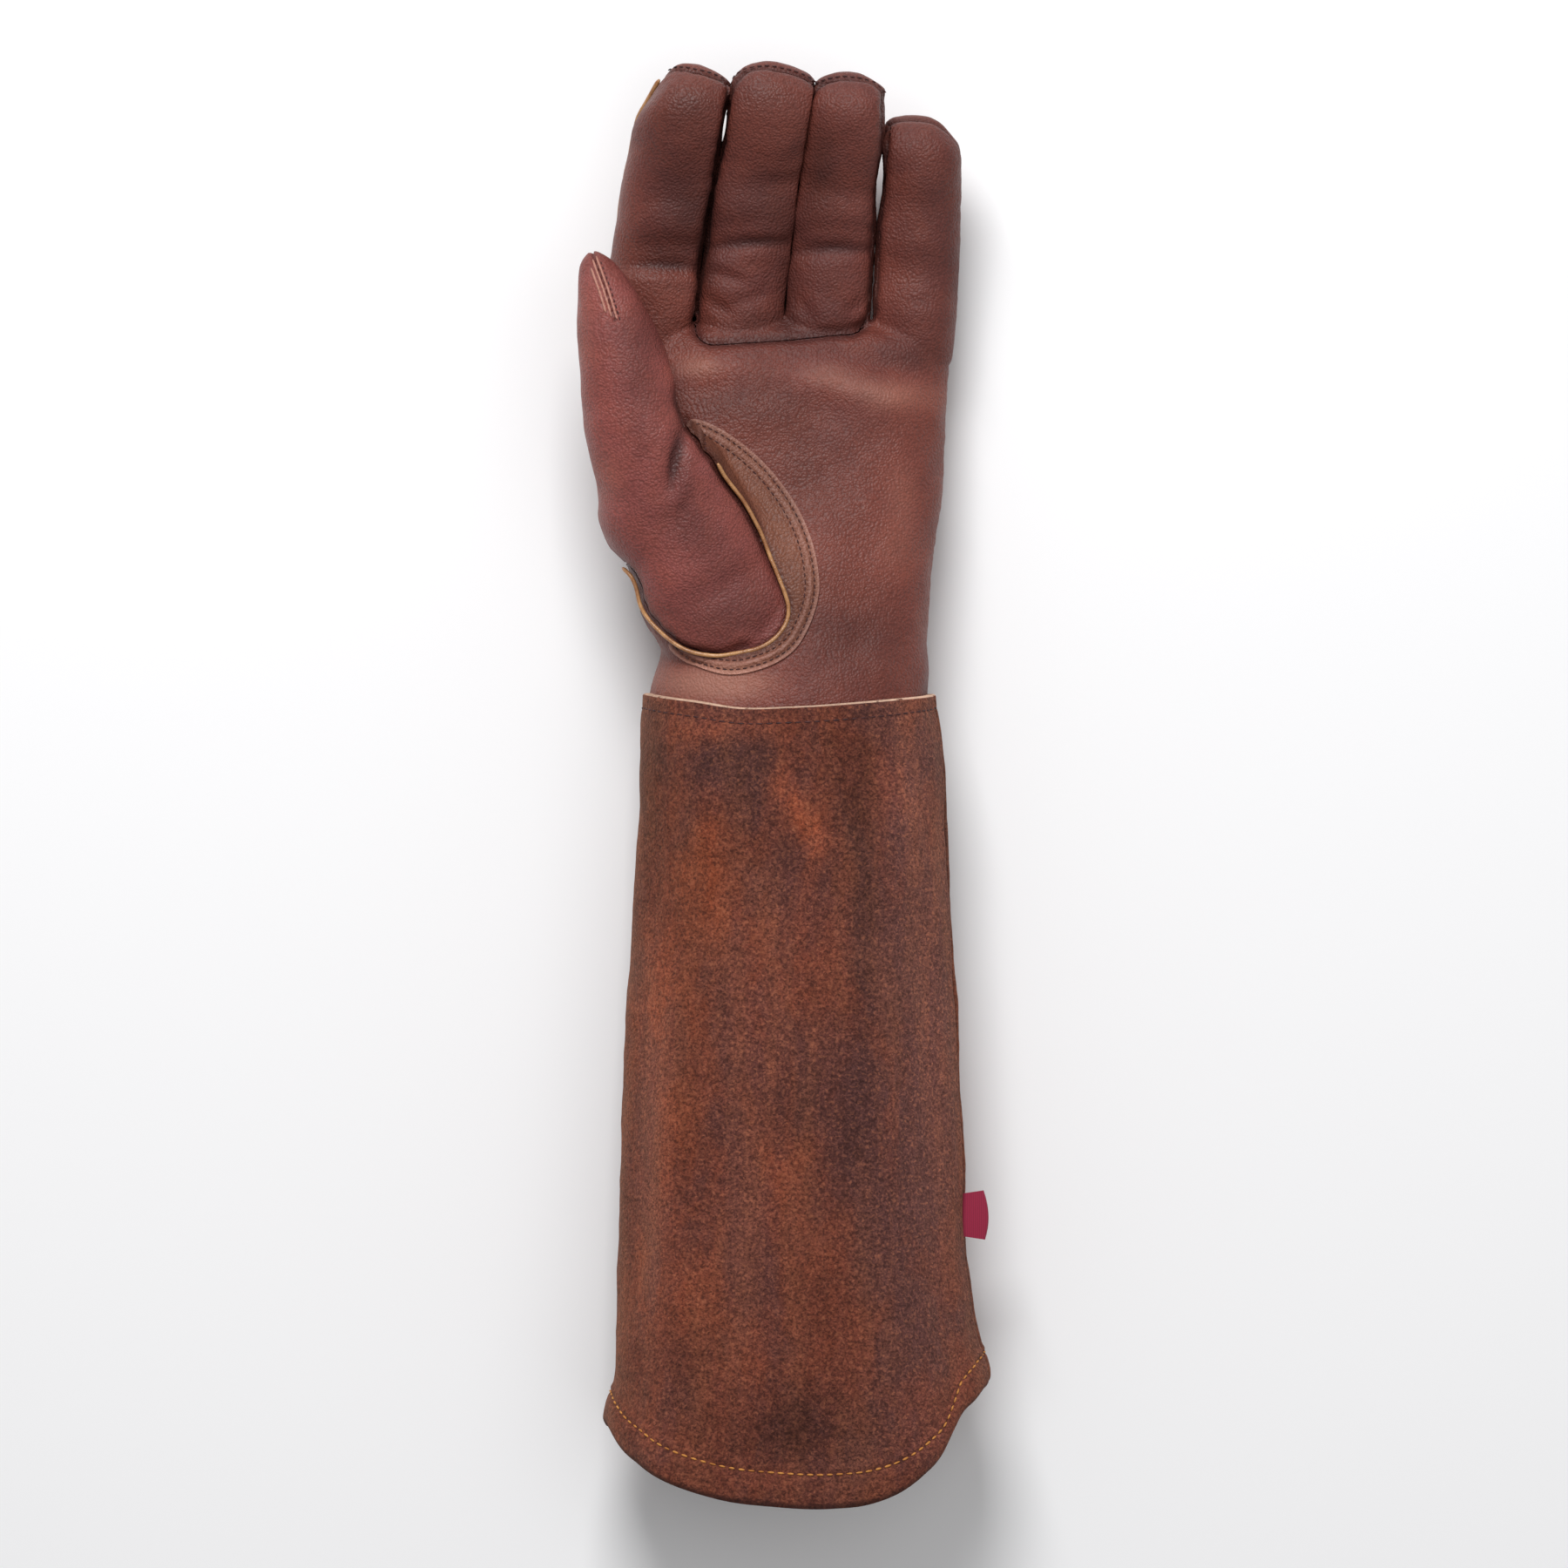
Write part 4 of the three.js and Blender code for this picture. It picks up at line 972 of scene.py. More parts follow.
# The thumb's patch
# A crescent of leather laid over the palm round the thumb's seam, where branches rub most. It is sewn down
# with two rows of dark thread and its cut edge stands up a little.
patch_rise, patch_wall = 1.05, 0.85
patch_edge = [
    (-33.3, 89.7), (-25.8, 88.6), (-16, 82.7), (-6, 73.8), (2.1, 62.7), (6.8, 52.9), (9.3, 42.9),
    (9.9, 32.9), (6.8, 23.1), (2.1, 15), (-6, 10), (-18, 7), (-28, 9.5), (-35.8, 13.9), (-39, 18.5),
    (-30, 30), (-30, 60), (-31, 80), (-33.3, 89.7),
]
patch_stitch_rows = [1.5, 4.4]
patch_field = inside_outline(skin["points"], patch_edge)
patch_field = np.minimum(patch_field, 40 * (skin["normals"][:, 2] + 0.1))
patch_skin = cut(skin, np.minimum(patch_field, -skin["thumb"] - 0.05))
patch_skin["rim"] = inside_outline(patch_skin["points"], patch_edge)
raised = patch_rise - 0.3 * bump(patch_skin["rim"], 0.5) - 0.3 * bump(patch_skin["thumb"], 1.2)
for row in patch_stitch_rows:
    raised -= 0.5 * bump(patch_skin["rim"] - row, 0.7)
raised += 0.25 * bump(patch_skin["rim"] - 3.0, 0.7)
patch_skin["points"] = patch_skin["points"] + patch_skin["normals"] * raised[:, None]
# Painted highlights along the patch's raised cut edge and the ridge between its stitch rows, with the palm's
# painted relief shading
worn = 1.2 * bump(patch_skin["rim"] - 0.2, 0.7) + patch_skin["relief"]
worn += 0.9 * bump(patch_skin["rim"] - 3.0, 0.6)
patch = leather_sheet(
    "patch_leather", patch_skin, patch_wall, worn=worn,
    edge=np.clip(-patch_skin["thumb"], 0, 12),
    tone=tone_of(patch_skin["points"]))
patch_leather = grain_leather(
    "patch leather", (0.178, 0.062, 0.037), (0.13, 0.042, 0.027), (0.19, 0.065, 0.031))
patch.data.materials.append(patch_leather)
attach(patch, "root")
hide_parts("thumb_patch")

# The welts
# Tan leather folded round a cord and caught in the seam: one round the thumb's base and one along the
# thumb side between palm and back, up to the tip of the index finger.


def welt(name, lines, radius, rise):
    """Round welts along seam lines, standing out of them."""
    points, faces = [], []
    sides = 10
    turn = np.arange(sides) * 2 * np.pi / sides
    for line, out in lines:
        ahead = np.gradient(line, axis=0)
        ahead /= np.linalg.norm(ahead, axis=1, keepdims=True)
        aside = np.cross(ahead, out)
        aside /= np.linalg.norm(aside, axis=1, keepdims=True)
        up = np.cross(aside, ahead)
        taper = radius * np.minimum(1, 0.5 + np.minimum(np.arange(len(line)), np.arange(len(line))[::-1]) / 3)
        centre = line + up * rise
        rings = centre[:, None] + taper[:, None, None] * (
            aside[:, None] * np.cos(turn)[None, :, None] + up[:, None] * np.sin(turn)[None, :, None])
        body, body_faces = loft(rings)
        first = sum(len(q) for q in points)
        faces += [[first + i for i in face] for face in body_faces]
        points.append(body)
    mesh = mesh_of(name, (np.concatenate(points) + glove_origin) / 1000, faces)
    mesh.shade_smooth()
    return in_scene(name, mesh)


def piping_leather():
    material, tree, shader, place = new_material("piping", 0.36, 0.6)
    shade = placed(tree, patches_group, place, Per_metre=160.0, Low=0.3, High=0.7)
    grain = placed(tree, grain_group, place, Pebbles_per_metre=1600.0, Wrinkles=0.8)
    colour = blended(tree, shade.outputs["Mask"], (0.26, 0.1, 0.035), (0.52, 0.27, 0.11))
    tree.links.new(colour, shader.inputs["Base Color"])
    bumped(tree, shader, grain.outputs["Height"], 0.4, 0.0003)
    return material


piping = piping_leather()
thumb_lines = seam_lines(
    skin, skin["thumb"], lambda q, n: (q[:, 1] < 75) & (q[:, 2] > 21) & (n[:, 2] > 0.1), 0.8)
thumb_welt = welt("thumb_piping", thumb_lines[:1], radius=0.66, rise=0.72)
thumb_welt.data.materials.append(piping)
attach(thumb_welt, "root")
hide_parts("thumb_welt")
side_seam = np.minimum(skin["side"], 50)
back_lines = seam_lines(skin, side_seam, lambda q, n: (q[:, 1] > -8) & (q[:, 1] < 197.5) & (
    q[:, 0] < np.where(q[:, 1] < 105, -25, finger_line("index", q[:, 1]) - 4)), 0.8)
back_welt = welt("back_piping", back_lines[:1], radius=0.8, rise=0.7)
back_welt.data.materials.append(piping)
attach(back_welt, "root")
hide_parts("back_welt")

# The gauntlet
# Two panels of thick split suede, one over the palm side and one over the back, joined by two side seams
# that turn in. Their upper edges are left raw and lapped over the wrist, and their hems are turned up.
cuff_length, top_width, top_depth, hem_width, hem_depth = 256, 93.4, 62, 123, 78
suede_wall, rest_sink = 1.7, 2
hem_row, upper_row = 11, 5.2
radial_turn, ulnar_turn = 197, 6
# Along the gauntlet: how far each side and the depth have grown towards the hem's
cuff_rows = [
    (-0.03, 0, 0, 0), (0, 0, 0, 0), (0.05, 0.05, 0.11, 0.1), (0.2, 0.12, 0.27, 0.28),
    (0.38, 0.34, 0.45, 0.46), (0.56, 0.49, 0.6, 0.6), (0.7, 0.56, 0.71, 0.7), (0.76, 0.57, 0.83, 0.76),
    (0.82, 0.6, 1.08, 0.84), (0.87, 0.72, 1.25, 0.92), (0.93, 0.92, 1.22, 0.98), (1.04, 1, 1.12, 1.02),
]
# Soft folds: place round the gauntlet in degrees, width, depth, and where they start and end along it
cuff_folds = [
    (62, 16, 2.2, 0.07, 0.9), (96, 18, -1.9, 0.1, 1), (128, 13, 1.4, 0.3, 1.1), (152, 14, -1.9, 0.08, 0.7),
    (36, 14, -1.6, 0.2, 1), (214, 14, -1.7, 0.1, 0.9), (322, 16, -1.7, 0.15, 1),
    (78, 6, 0.55, 0.12, 0.5), (110, 7, 0.6, 0.25, 0.75), (52, 6, -0.5, 0.3, 0.8), (138, 7, -0.6, 0.05, 0.35),
    (240, 8, 0.7, 0.2, 0.8), (270, 12, 1.0, 0.05, 0.6), (300, 8, -0.6, 0.3, 0.9),
]
# The upper edge: place round it, and how far it lies along the hand
edge_rows = [
    (0, 1.7), (12, 1.2), (40, 0.2), (60, -0.8), (85, -2.2), (105, -2.8), (128, -0.6), (150, 0.8), (180, 1.9),
    (200, 1.0), (225, 2.6), (262, 2.2), (300, 1.2), (335, 0.4), (360, 1.7),
]
# The hem: place across the gauntlet from one side seam (-1) to the other (1), and how far it lies down
front_hem_rows = [
    (-1, -231), (-0.975, -233.6), (-0.935, -237), (-0.88, -240.2), (-0.8, -243.4), (-0.71, -247),
    (-0.605, -250.3), (-0.38, -255), (-0.1, -257.2), (0.2, -257.8), (0.42, -256), (0.56, -252.2),
    (0.67, -247), (0.765, -240.6), (0.81, -234.5), (0.857, -228.4), (0.92, -224), (1, -218),
]
back_hem_rows = [
    (-1, -231), (-0.9, -237.5), (-0.75, -244), (-0.55, -251), (-0.3, -255), (0, -256.4), (0.3, -255.4),
    (0.55, -251), (0.75, -239), (0.9, -225), (1, -218),
]


def cuff_points(turn, down, inset):
    """Points of a panel, round it by degrees and down it in millimetres from its upper edge."""
    turn, down = np.asarray(turn, float), np.asarray(down, float)
    c = np.cos(np.radians(turn))
    across = np.sign(c) * np.abs(c) ** (2 / squareness)
    hem = np.where(np.sin(np.radians(turn)) > -0.1, column(front_hem_rows, across)[0],
                   column(back_hem_rows, across)[0])
    top = column(edge_rows, turn % 360)[0]
    y = top + (hem - top) * down
    along = -y / cuff_length
    radial, ulnar, deep = column(cuff_rows, along)
    left = -(top_width + (hem_width - top_width) * radial) / 2
    right = (top_width + (hem_width - top_width) * ulnar) / 2
    high = top_depth + (hem_depth - top_depth) * deep
    fold = np.zeros(np.broadcast(turn, down).shape)
    for place, width, depth, start, end in cuff_folds:
        away = (turn - place + 540) % 360 - 180
        fold += depth * bump(away, width) * smooth(along, start, start + 0.12) * (
            1 - smooth(along, end, end + 0.12))
    u, w = np.sign(c) * np.abs(c) ** (2 / squareness), np.sin(np.radians(turn))
    w = np.sign(w) * np.abs(w) ** (2 / squareness)
    push = inset - fold
    x = (left + right) / 2 + ((right - left) / 2 - push) * u
    z = (high - rest_sink) / 2 + ((high + rest_sink) / 2 - push) * w
    return np.stack([x, y, np.maximum(z, np.maximum(inset, 0))], -1)


def cuff_panel(name, start, end, columns):
    """A suede panel from one side seam to the other, with its raw edge, its hem and its fine unevenness."""
    near_edge = np.array([0, 0.2, 0.4, 0.6, 0.9, 1.4, 2.2, 3.0, 4.0])
    above_hem = 234
    downs = np.concatenate([
        near_edge, np.linspace(upper_row, above_hem, 165)[:-1], np.linspace(above_hem, cuff_length, 34)])
    downs[-6:] = cuff_length - np.array([2.2, 1.35, 0.75, 0.35, 0.1, 0])
    spread = np.linspace(0, 1, columns)
    turn, down = np.meshgrid(start + (end - start) * spread, downs)
    hem_away = cuff_length - down
    seam_away = np.minimum(turn - start, end - turn) * math.pi / 180 * 52
    base = cuff_points(turn, down / cuff_length, 0)
    flat = base.reshape(-1, 3)
    uneven = 0.55 * ripple(flat, 46, 11) + 0.22 * ripple(flat, 17, 12) + 0.07 * ripple(flat, 6, 13)
    uneven = uneven.reshape(turn.shape)
    inset = -uneven * smooth(down, 0, 12)
    inset += 0.9 * (1 - np.clip(down / 0.8, 0, 1)) ** 2
    inset += 0.9 * (1 - np.clip(hem_away / 2.6, 0, 1)) ** 2.4
    inset += 1.5 * np.exp(-(seam_away / 1.5) ** 1.5) - 0.45 * bump(seam_away - 4.2, 2.4)
    inset -= 0.55 * bump(hem_away - 5.5, 4.0)
    stitch_row = 0.45 * bump(hem_away - hem_row, 0.9)
    inset += stitch_row + 0.5 * smooth(hem_away, 12.5, 14.5) * (1 - smooth(hem_away, 14.5, 30))
    inset += 0.22 * bump(down - upper_row, 0.7)
    outer = cuff_points(turn, down / cuff_length, inset)
    wall = suede_wall + smooth(13.6 - hem_away, 0, 0.6) * suede_wall
    inner = cuff_points(turn, down / cuff_length, inset + wall)
    rows = len(downs)
    i, j = np.meshgrid(np.arange(rows - 1), np.arange(columns - 1), indexing="ij")
    a, b = (i * columns + j).ravel(), (i * columns + j + 1).ravel()
    c, d = b + columns, a + columns
    triangles = np.concatenate([np.stack([a, c, d], -1), np.stack([a, b, c], -1)])
    points = np.concatenate([outer.reshape(-1, 3), inner.reshape(-1, 3)])
    mesh = mesh_of(name, (points + glove_origin) / 1000, walled(triangles, turn.size))
    keep_values(mesh, down=np.tile(down.ravel(), 2), hem=np.tile(np.clip(hem_away, 0, 40).ravel(), 2),
                side=np.tile(seam_away.ravel(), 2))
    mesh.shade_smooth()
    mesh.set_sharp_from_angle(angle=sharp_fold)
    return in_scene(name, mesh)


def nap():
    """Suede's nap: short fibres brushed in patches, and fine specks."""
    tree, given, made = group("nap", [
        ("Place", "NodeSocketVector", None), ("Fibres per metre", "NodeSocketFloat", 1500.0)],
        [("Height", "NodeSocketFloat"), ("Specks", "NodeSocketFloat")])
    place = given.outputs["Place"]
    fibre = add(tree, "ShaderNodeTexNoise", {
        "Vector": place, "Scale": given.outputs["Fibres per metre"], "Detail": 3.0, "Roughness": 0.65,
        "Distortion": 0.6})
    tuft = add(tree, "ShaderNodeTexNoise", {
        "Vector": place, "Scale": 330.0, "Detail": 4.0, "Roughness": 0.7})
    height = reckoned(tree, "MULTIPLY_ADD", tuft.outputs["Fac"], 0.8, fibre.outputs["Fac"])
    tree.links.new(height, made.inputs["Height"])
    tree.links.new(fibre.outputs["Fac"], made.inputs["Specks"])
    return tree


nap_group = nap()
# Where the suede's dye is more orange (above 0) or more purple (below 0), and where it is painted lighter or
# darker, partly its own uneven colour and partly painted highlights and shade along its folds: place, half
# sizes, orange, light
dye_rows = [
    (-2, -28, 3.5, 6, 1.2, 0.3), (3, -36, 3.5, 7, 1.4, 0.4), (9, -45, 4, 7, 1.4, 0.4),
    (20, -28, 8, 20, -0.4, -0.3), (-22, -10, 20, 4, 0.9, 0.15), (-26, -20, 14, 6, -0.5, -0.15),
    (-26, -56, 8, 22, 0.8, 0.0), (-44, -56, 5, 26, -0.6, -0.15), (24, -70, 4, 44, -0.5, -0.25),
    (-30, -62, 14, 24, 0.4, 0.0), (-41, -98, 6, 34, 0.4, 0.2), (-33, -128, 6, 32, 0.4, -0.1),
    (-43, -160, 6, 80, 0.4, 0.42), (-14, -165, 10, 32, 0.1, 0.15), (-6, -75, 14, 18, 0.1, 0.1),
    (21, -140, 6, 30, -0.3, -0.12), (50, -130, 10, 100, -0.5, 0.3), (38, -100, 12, 110, -0.7, 0.28),
    (-10, -20, 12, 12, -0.4, -0.15), (-44, -20, 5, 24, 0, -0.2), (10, -10, 18, 12, 0, -0.15),
    (6, -226, 22, 14, -0.3, -0.26), (40, -232, 9, 9, -0.2, 0.25), (-18, -240, 24, 9, -0.1, -0.15),
    (40, -190, 14, 30, -0.5, 0.0), (0, -44, 26, 18, -0.1, -0.12), (-34, -206, 12, 12, -0.3, -0.2),
    (-38, -66, 8, 22, -0.2, -0.15), (-12, -106, 10, 12, 0.1, 0.15), (46, -110, 8, 70, -0.2, 0.15),
    (10, -192, 12, 14, -0.1, -0.16), (-42, -24, 8, 16, 0, -0.1), (38, -30, 7, 24, -0.4, 0.3),
    (2, -130, 8, 9, -0.3, -0.12), (-4, -96, 5, 14, 0.3, 0.12), (-14, -88, 5, 12, 0.5, 0.1),
    (-40, -215, 14, 16, -0.5, -0.12), (2, -231, 8, 8, -0.7, -0.22), (14, -236, 34, 16, -0.5, -0.02),
    (-14, -212, 10, 12, 0.4, 0.14), (-30, -196, 7, 16, 0.5, 0.16), (-6, -150, 7, 18, 0.5, 0.1),
]


def split_suede(name, turned):
    """Rusty brown suede, orange where it is brushed open and purplish where it is pressed down."""
    material, tree, shader, place = new_material(name, 0.92, 0.12)
    shader.inputs["Sheen Weight"].default_value = 0.2
    shader.inputs["Sheen Roughness"].default_value = 0.45
    shader.inputs["Sheen Tint"].default_value = (0.9, 0.5, 0.32, 1)
    moved = add(tree, "ShaderNodeMapping", {
        "Vector": place, "Location": (turned, 0.3 * turned, 0)}).outputs["Vector"]
    stretched = add(tree, "ShaderNodeMapping", {"Vector": moved, "Scale": (1.6, 0.7, 1.6)}).outputs["Vector"]
    streaked = add(tree, "ShaderNodeMapping", {"Vector": moved, "Scale": (2.4, 0.3, 2.4)}).outputs["Vector"]
    broad = placed(tree, patches_group, stretched, Per_metre=28.0, Low=0.38, High=0.63)
    small = placed(tree, patches_group, stretched, Per_metre=120.0, Low=0.3, High=0.75)
    streaks = placed(tree, patches_group, streaked, Per_metre=42.0, Low=0.42, High=0.66)
    ragged = placed(tree, patches_group, place, Per_metre=420.0, Low=0.3, High=0.42)
    mottle = placed(tree, patches_group, moved, Per_metre=330.0, Low=0.34, High=0.66)
    fibre = placed(tree, nap_group, place, Fibres_per_metre=1050.0)
    patchy = reckoned(tree, "MULTIPLY_ADD", broad.outputs["Mask"], 0.55, 0.14)
    dye = reckoned(tree, "MULTIPLY_ADD", attribute(tree, "dye"), 0.45, patchy)
    colour = blended(tree, dye, (0.094, 0.037, 0.035), (0.25, 0.058, 0.026))
    some = reckoned(tree, "MULTIPLY", small.outputs["Mask"], 0.4)
    colour = blended(tree, some, colour, (0.11, 0.038, 0.03))
    brushed = reckoned(tree, "MULTIPLY", streaks.outputs["Mask"], 0.3)
    colour = blended(tree, brushed, colour, (0.25, 0.085, 0.045))
    specks = ranged(tree, fibre.outputs["Specks"], 0.34, 0.56, 0.7, 0.0)
    colour = blended(tree, specks, colour, (0.035, 0.012, 0.01))
    lint = ranged(tree, fibre.outputs["Specks"], 0.5, 0.72, 0.0, 0.55)
    colour = blended(tree, lint, colour, (0.34, 0.12, 0.062))
    raw = ranged(tree, attribute(tree, "down"), 0.62, 0.36, 0.0, 0.95)
    frayed = reckoned(tree, "MULTIPLY", raw, ragged.outputs["Mask"])
    colour = blended(tree, frayed, colour, (0.62, 0.42, 0.31))
    # Painted shade in the side seams' grooves
    seam = ranged(tree, attribute(tree, "side"), 2.4, 0.2, 0.0, 0.75)
    colour = blended(tree, seam, colour, (0.03, 0.012, 0.012))
    # Painted shadow along the hem's turned-up edge
    under = ranged(tree, attribute(tree, "hem"), 2.6, 0.6, 0.0, 0.7)
    colour = blended(tree, under, colour, (0.03, 0.012, 0.012))
    evenness = ranged(tree, mottle.outputs["Mask"], 0.0, 1.0, 0.86, 1.12)
    coloured(tree, shader, colour, evenness)
    bumped(tree, shader, fibre.outputs["Height"], 0.75, 0.0007)
    return material


def dyed(piece, rows):
    """The dye's hue over a piece, and its painted light and shade with its own uneven colour, from the table.
    """
    points = triangles_of(piece.data)[0] * 1000 - glove_origin
    hue, tone = np.zeros(len(points)), np.zeros(len(points))
    for *place, orange, light in rows:
        near = spot(points[:, 0], points[:, 1], *place)
        hue += orange * near
        # The light column is partly painted highlight and shade, partly the suede's own uneven colour
        tone += light * near
    keep_values(piece.data, dye=np.clip(hue, -1, 1), tone=np.clip(tone, -0.6, 0.8))


cuff_front = cuff_panel("gauntlet_front", ulnar_turn, radial_turn, 210)
dyed(cuff_front, dye_rows)
cuff_front.data.materials.append(split_suede("front suede", 0.0))
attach(cuff_front, "root")
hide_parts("cuff_front")
cuff_back = cuff_panel("gauntlet_back", radial_turn, ulnar_turn + 360, 190)
dyed(cuff_back, [(-x, y - 12, wide * 1.2, tall, 0.7 * orange, 0.7 * light)
                 for x, y, wide, tall, orange, light in dye_rows])
cuff_back.data.materials.append(split_suede("back suede", 0.37))
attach(cuff_back, "root")
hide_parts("cuff_back")

# The tab
# A short length of crimson ribbon, folded in half and caught in the side seam on the little finger side.
# It is left bare.
tab_place, tab_tall, tab_reach, ribbon_wall = -166.8, 13.5, 8.2, 0.5
tab_down = (-tab_place + column(edge_rows, ulnar_turn)[0]) / (column(edge_rows, ulnar_turn)[0] + 221)
tab_foot = cuff_points(ulnar_turn, tab_down, 1.2)
layer_gap = 0.35
bend = np.linspace(np.pi / 2, -np.pi / 2, 13)[1:-1]


def ribbon_loop(radius):
    """One side of the folded ribbon, from the seam round its fold and back."""
    straight = np.linspace(-2.5, tab_reach - 0.9, 12)
    return np.concatenate([
        np.stack([straight, np.full(12, radius)], -1),
        np.stack([tab_reach - 0.9 + radius * np.cos(bend), radius * np.sin(bend)], -1),
        np.stack([straight[::-1], np.full(12, -radius)], -1),
    ])


outer_loop, inner_loop = ribbon_loop(layer_gap + ribbon_wall), ribbon_loop(layer_gap)
ring = np.concatenate([outer_loop, inner_loop[::-1]])
share = np.linspace(0, 1, 22)
tab_rings = np.stack([
    np.stack([
        tab_foot[0] + ring[:, 0] * (1 - 0.35 * abs(t - 0.5) ** 2) + 0.9 * math.sin(2.6 * t),
        np.full(len(ring), tab_foot[1] + (0.5 - t) * tab_tall) + 0.14 * ring[:, 0] * (0.5 - t) * 2,
        tab_foot[2] + ring[:, 1] + 0.5 * np.sin(2.2 * t + 0.25 * ring[:, 0]) + 0.05 * ring[:, 0],
    ], -1) for t in share])
tab_body, tab_faces = loft(tab_rings)
tab_mesh = mesh_of("ribbon_tab", (tab_body + glove_origin) / 1000, tab_faces)
tab_mesh.shade_smooth()
tab_mesh.set_sharp_from_angle(angle=math.radians(50))
tab = in_scene("ribbon_tab", tab_mesh)


def crimson_ribbon():
    material, tree, shader, place = new_material("ribbon", 0.55, 0.35)
    shader.inputs["Sheen Weight"].default_value = 0.04
    weave = add(tree, "ShaderNodeTexWave", {"Vector": place, "Scale": 640.0, "Distortion": 0.4},
                bands_direction="X").outputs["Fac"]
    colour = blended(tree, weave, (0.2, 0.006, 0.03), (0.36, 0.012, 0.055))
    tree.links.new(colour, shader.inputs["Base Color"])
    bumped(tree, shader, weave, 0.3, 0.0002)
    return material


tab.data.materials.append(crimson_ribbon())
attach(tab, "root")
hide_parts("tab")

# The stitching
# Waxed thread in rows: orange round the hem, dark brown on the patch, the gauntlet's upper edge and the
# finger seams, and a zigzag over the elastic at the back of the wrist.


def stitch_tree():
    """Stitches along lines: small rounded threads that lie along the line and flat on the leather."""
    tree = bpy.data.node_groups.new("stitches", "GeometryNodeTree")
    tree.is_modifier = True
    tree.interface.new_socket("Lines", in_out="INPUT", socket_type="NodeSocketGeometry")
    for title, value in (("Pitch", 0.003), ("Length", 0.0022), ("Thickness", 0.0007)):
        socket = tree.interface.new_socket(title, in_out="INPUT", socket_type="NodeSocketFloat")
        socket.default_value = value
    tree.interface.new_socket("Thread", in_out="INPUT", socket_type="NodeSocketMaterial")
    tree.interface.new_socket("Stitches", in_out="OUTPUT", socket_type="NodeSocketGeometry")
    given, made = tree.nodes.new("NodeGroupInput"), tree.nodes.new("NodeGroupOutput")
    wanted = given.outputs
    curve = add(tree, "GeometryNodeMeshToCurve", {"Mesh": wanted["Lines"]})
    spaced = add(tree, "GeometryNodeResampleCurve", {
        "Curve": curve.outputs["Curve"], "Length": wanted["Pitch"]}, mode="LENGTH")
    tangent = add(tree, "GeometryNodeInputTangent")
    out = add(tree, "GeometryNodeInputNamedAttribute", {"Name": "out"}, data_type="FLOAT_VECTOR")
    along = add(tree, "FunctionNodeAlignRotationToVector", {"Vector": tangent.outputs["Tangent"]},
                axis="X")
    flat = add(tree, "FunctionNodeAlignRotationToVector", {
        "Rotation": along.outputs["Rotation"], "Vector": out.outputs["Attribute"]},
        axis="Z", pivot_axis="X")
    thread = add(tree, "GeometryNodeMeshUVSphere", {"Segments": 7, "Rings": 6, "Radius": 0.5})
    laid = add(tree, "GeometryNodeTransform", {
        "Geometry": thread.outputs["Mesh"], "Rotation": (0, math.pi / 2, 0)})
    size = add(tree, "ShaderNodeCombineXYZ", {
        "X": wanted["Length"], "Y": wanted["Thickness"], "Z": wanted["Thickness"]})
    uneven = add(tree, "FunctionNodeRandomValue", {
        0: (0.88, 0.85, 0.85), 1: (1.1, 1.15, 1.1), "Seed": 5}, data_type="FLOAT_VECTOR")
    scale = add(tree, "ShaderNodeVectorMath", {0: size.outputs["Vector"], 1: uneven.outputs[0]},
                operation="MULTIPLY")
    set_out = add(tree, "GeometryNodeInstanceOnPoints", {
        "Points": spaced.outputs["Curve"], "Instance": laid.outputs["Geometry"],
        "Rotation": flat.outputs["Rotation"], "Scale": scale.outputs["Vector"]})
    real = add(tree, "GeometryNodeRealizeInstances", {"Geometry": set_out.outputs["Instances"]})
    painted = add(tree, "GeometryNodeSetMaterial", {
        "Geometry": real.outputs["Geometry"], "Material": wanted["Thread"]})
    tree.links.new(painted.outputs["Geometry"], made.inputs["Stitches"])
    return tree


stitch_nodes = stitch_tree()


def stitched(name, lines, thread, pitch, length, thickness, rise=0.0):
    """A row or rows of stitches, in millimetres, as one mesh."""
    points = np.concatenate([line + out * rise for line, out in lines])
    outs = np.concatenate([out for _, out in lines])
    edges, first = [], 0
    for line, _ in lines:
        edges += [(first + i, first + i + 1) for i in range(len(line) - 1)]
        first += len(line)
    mesh = bpy.data.meshes.new(name)
    mesh.from_pydata(((points + glove_origin) / 1000).tolist(), edges, [])
    layer = mesh.attributes.new("out", "FLOAT_VECTOR", "POINT")
    layer.data.foreach_set("vector", outs.astype(np.float32).ravel())
    path = in_scene(name + " lines", mesh)
    modifier = path.modifiers.new("stitches", "NODES")
    modifier.node_group = stitch_nodes
    wanted = {"Pitch": pitch / 1000, "Length": length / 1000, "Thickness": thickness / 1000, "Thread": thread}
    for item in stitch_nodes.interface.items_tree:
        if item.name in wanted:
            modifier[item.identifier] = wanted[item.name]
    evaluated = path.evaluated_get(bpy.context.evaluated_depsgraph_get())
    row = in_scene(name, bpy.data.meshes.new_from_object(evaluated))
    bpy.data.objects.remove(path)
    row.data.shade_smooth()
    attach(row, "root")
    return row


def thread_material(name, light, dark):
    material, tree, shader, place = new_material(name, 0.6, 0.3)
    shade = placed(tree, patches_group, place, Per_metre=400.0, Low=0.35, High=0.65)
    tree.links.new(blended(tree, shade.outputs["Mask"], dark, light), shader.inputs["Base Color"])
    return material


orange_thread = thread_material("orange thread", (0.62, 0.27, 0.06), (0.42, 0.15, 0.03))
dark_thread = thread_material("dark thread", (0.075, 0.022, 0.02), (0.035, 0.012, 0.012))


def panel_line(start, end, down, count=400):
    """A line across a gauntlet panel at a height, in millimetres from its upper edge, on its surface."""
    turn = np.linspace(start, end, count)
    lift = 0.15
    line = cuff_points(turn, np.full(count, down / cuff_length), -lift)
    turn = np.radians(turn)
    return even_line(line, np.stack([np.cos(turn), 0 * turn, np.sin(turn)], -1), 1.0)


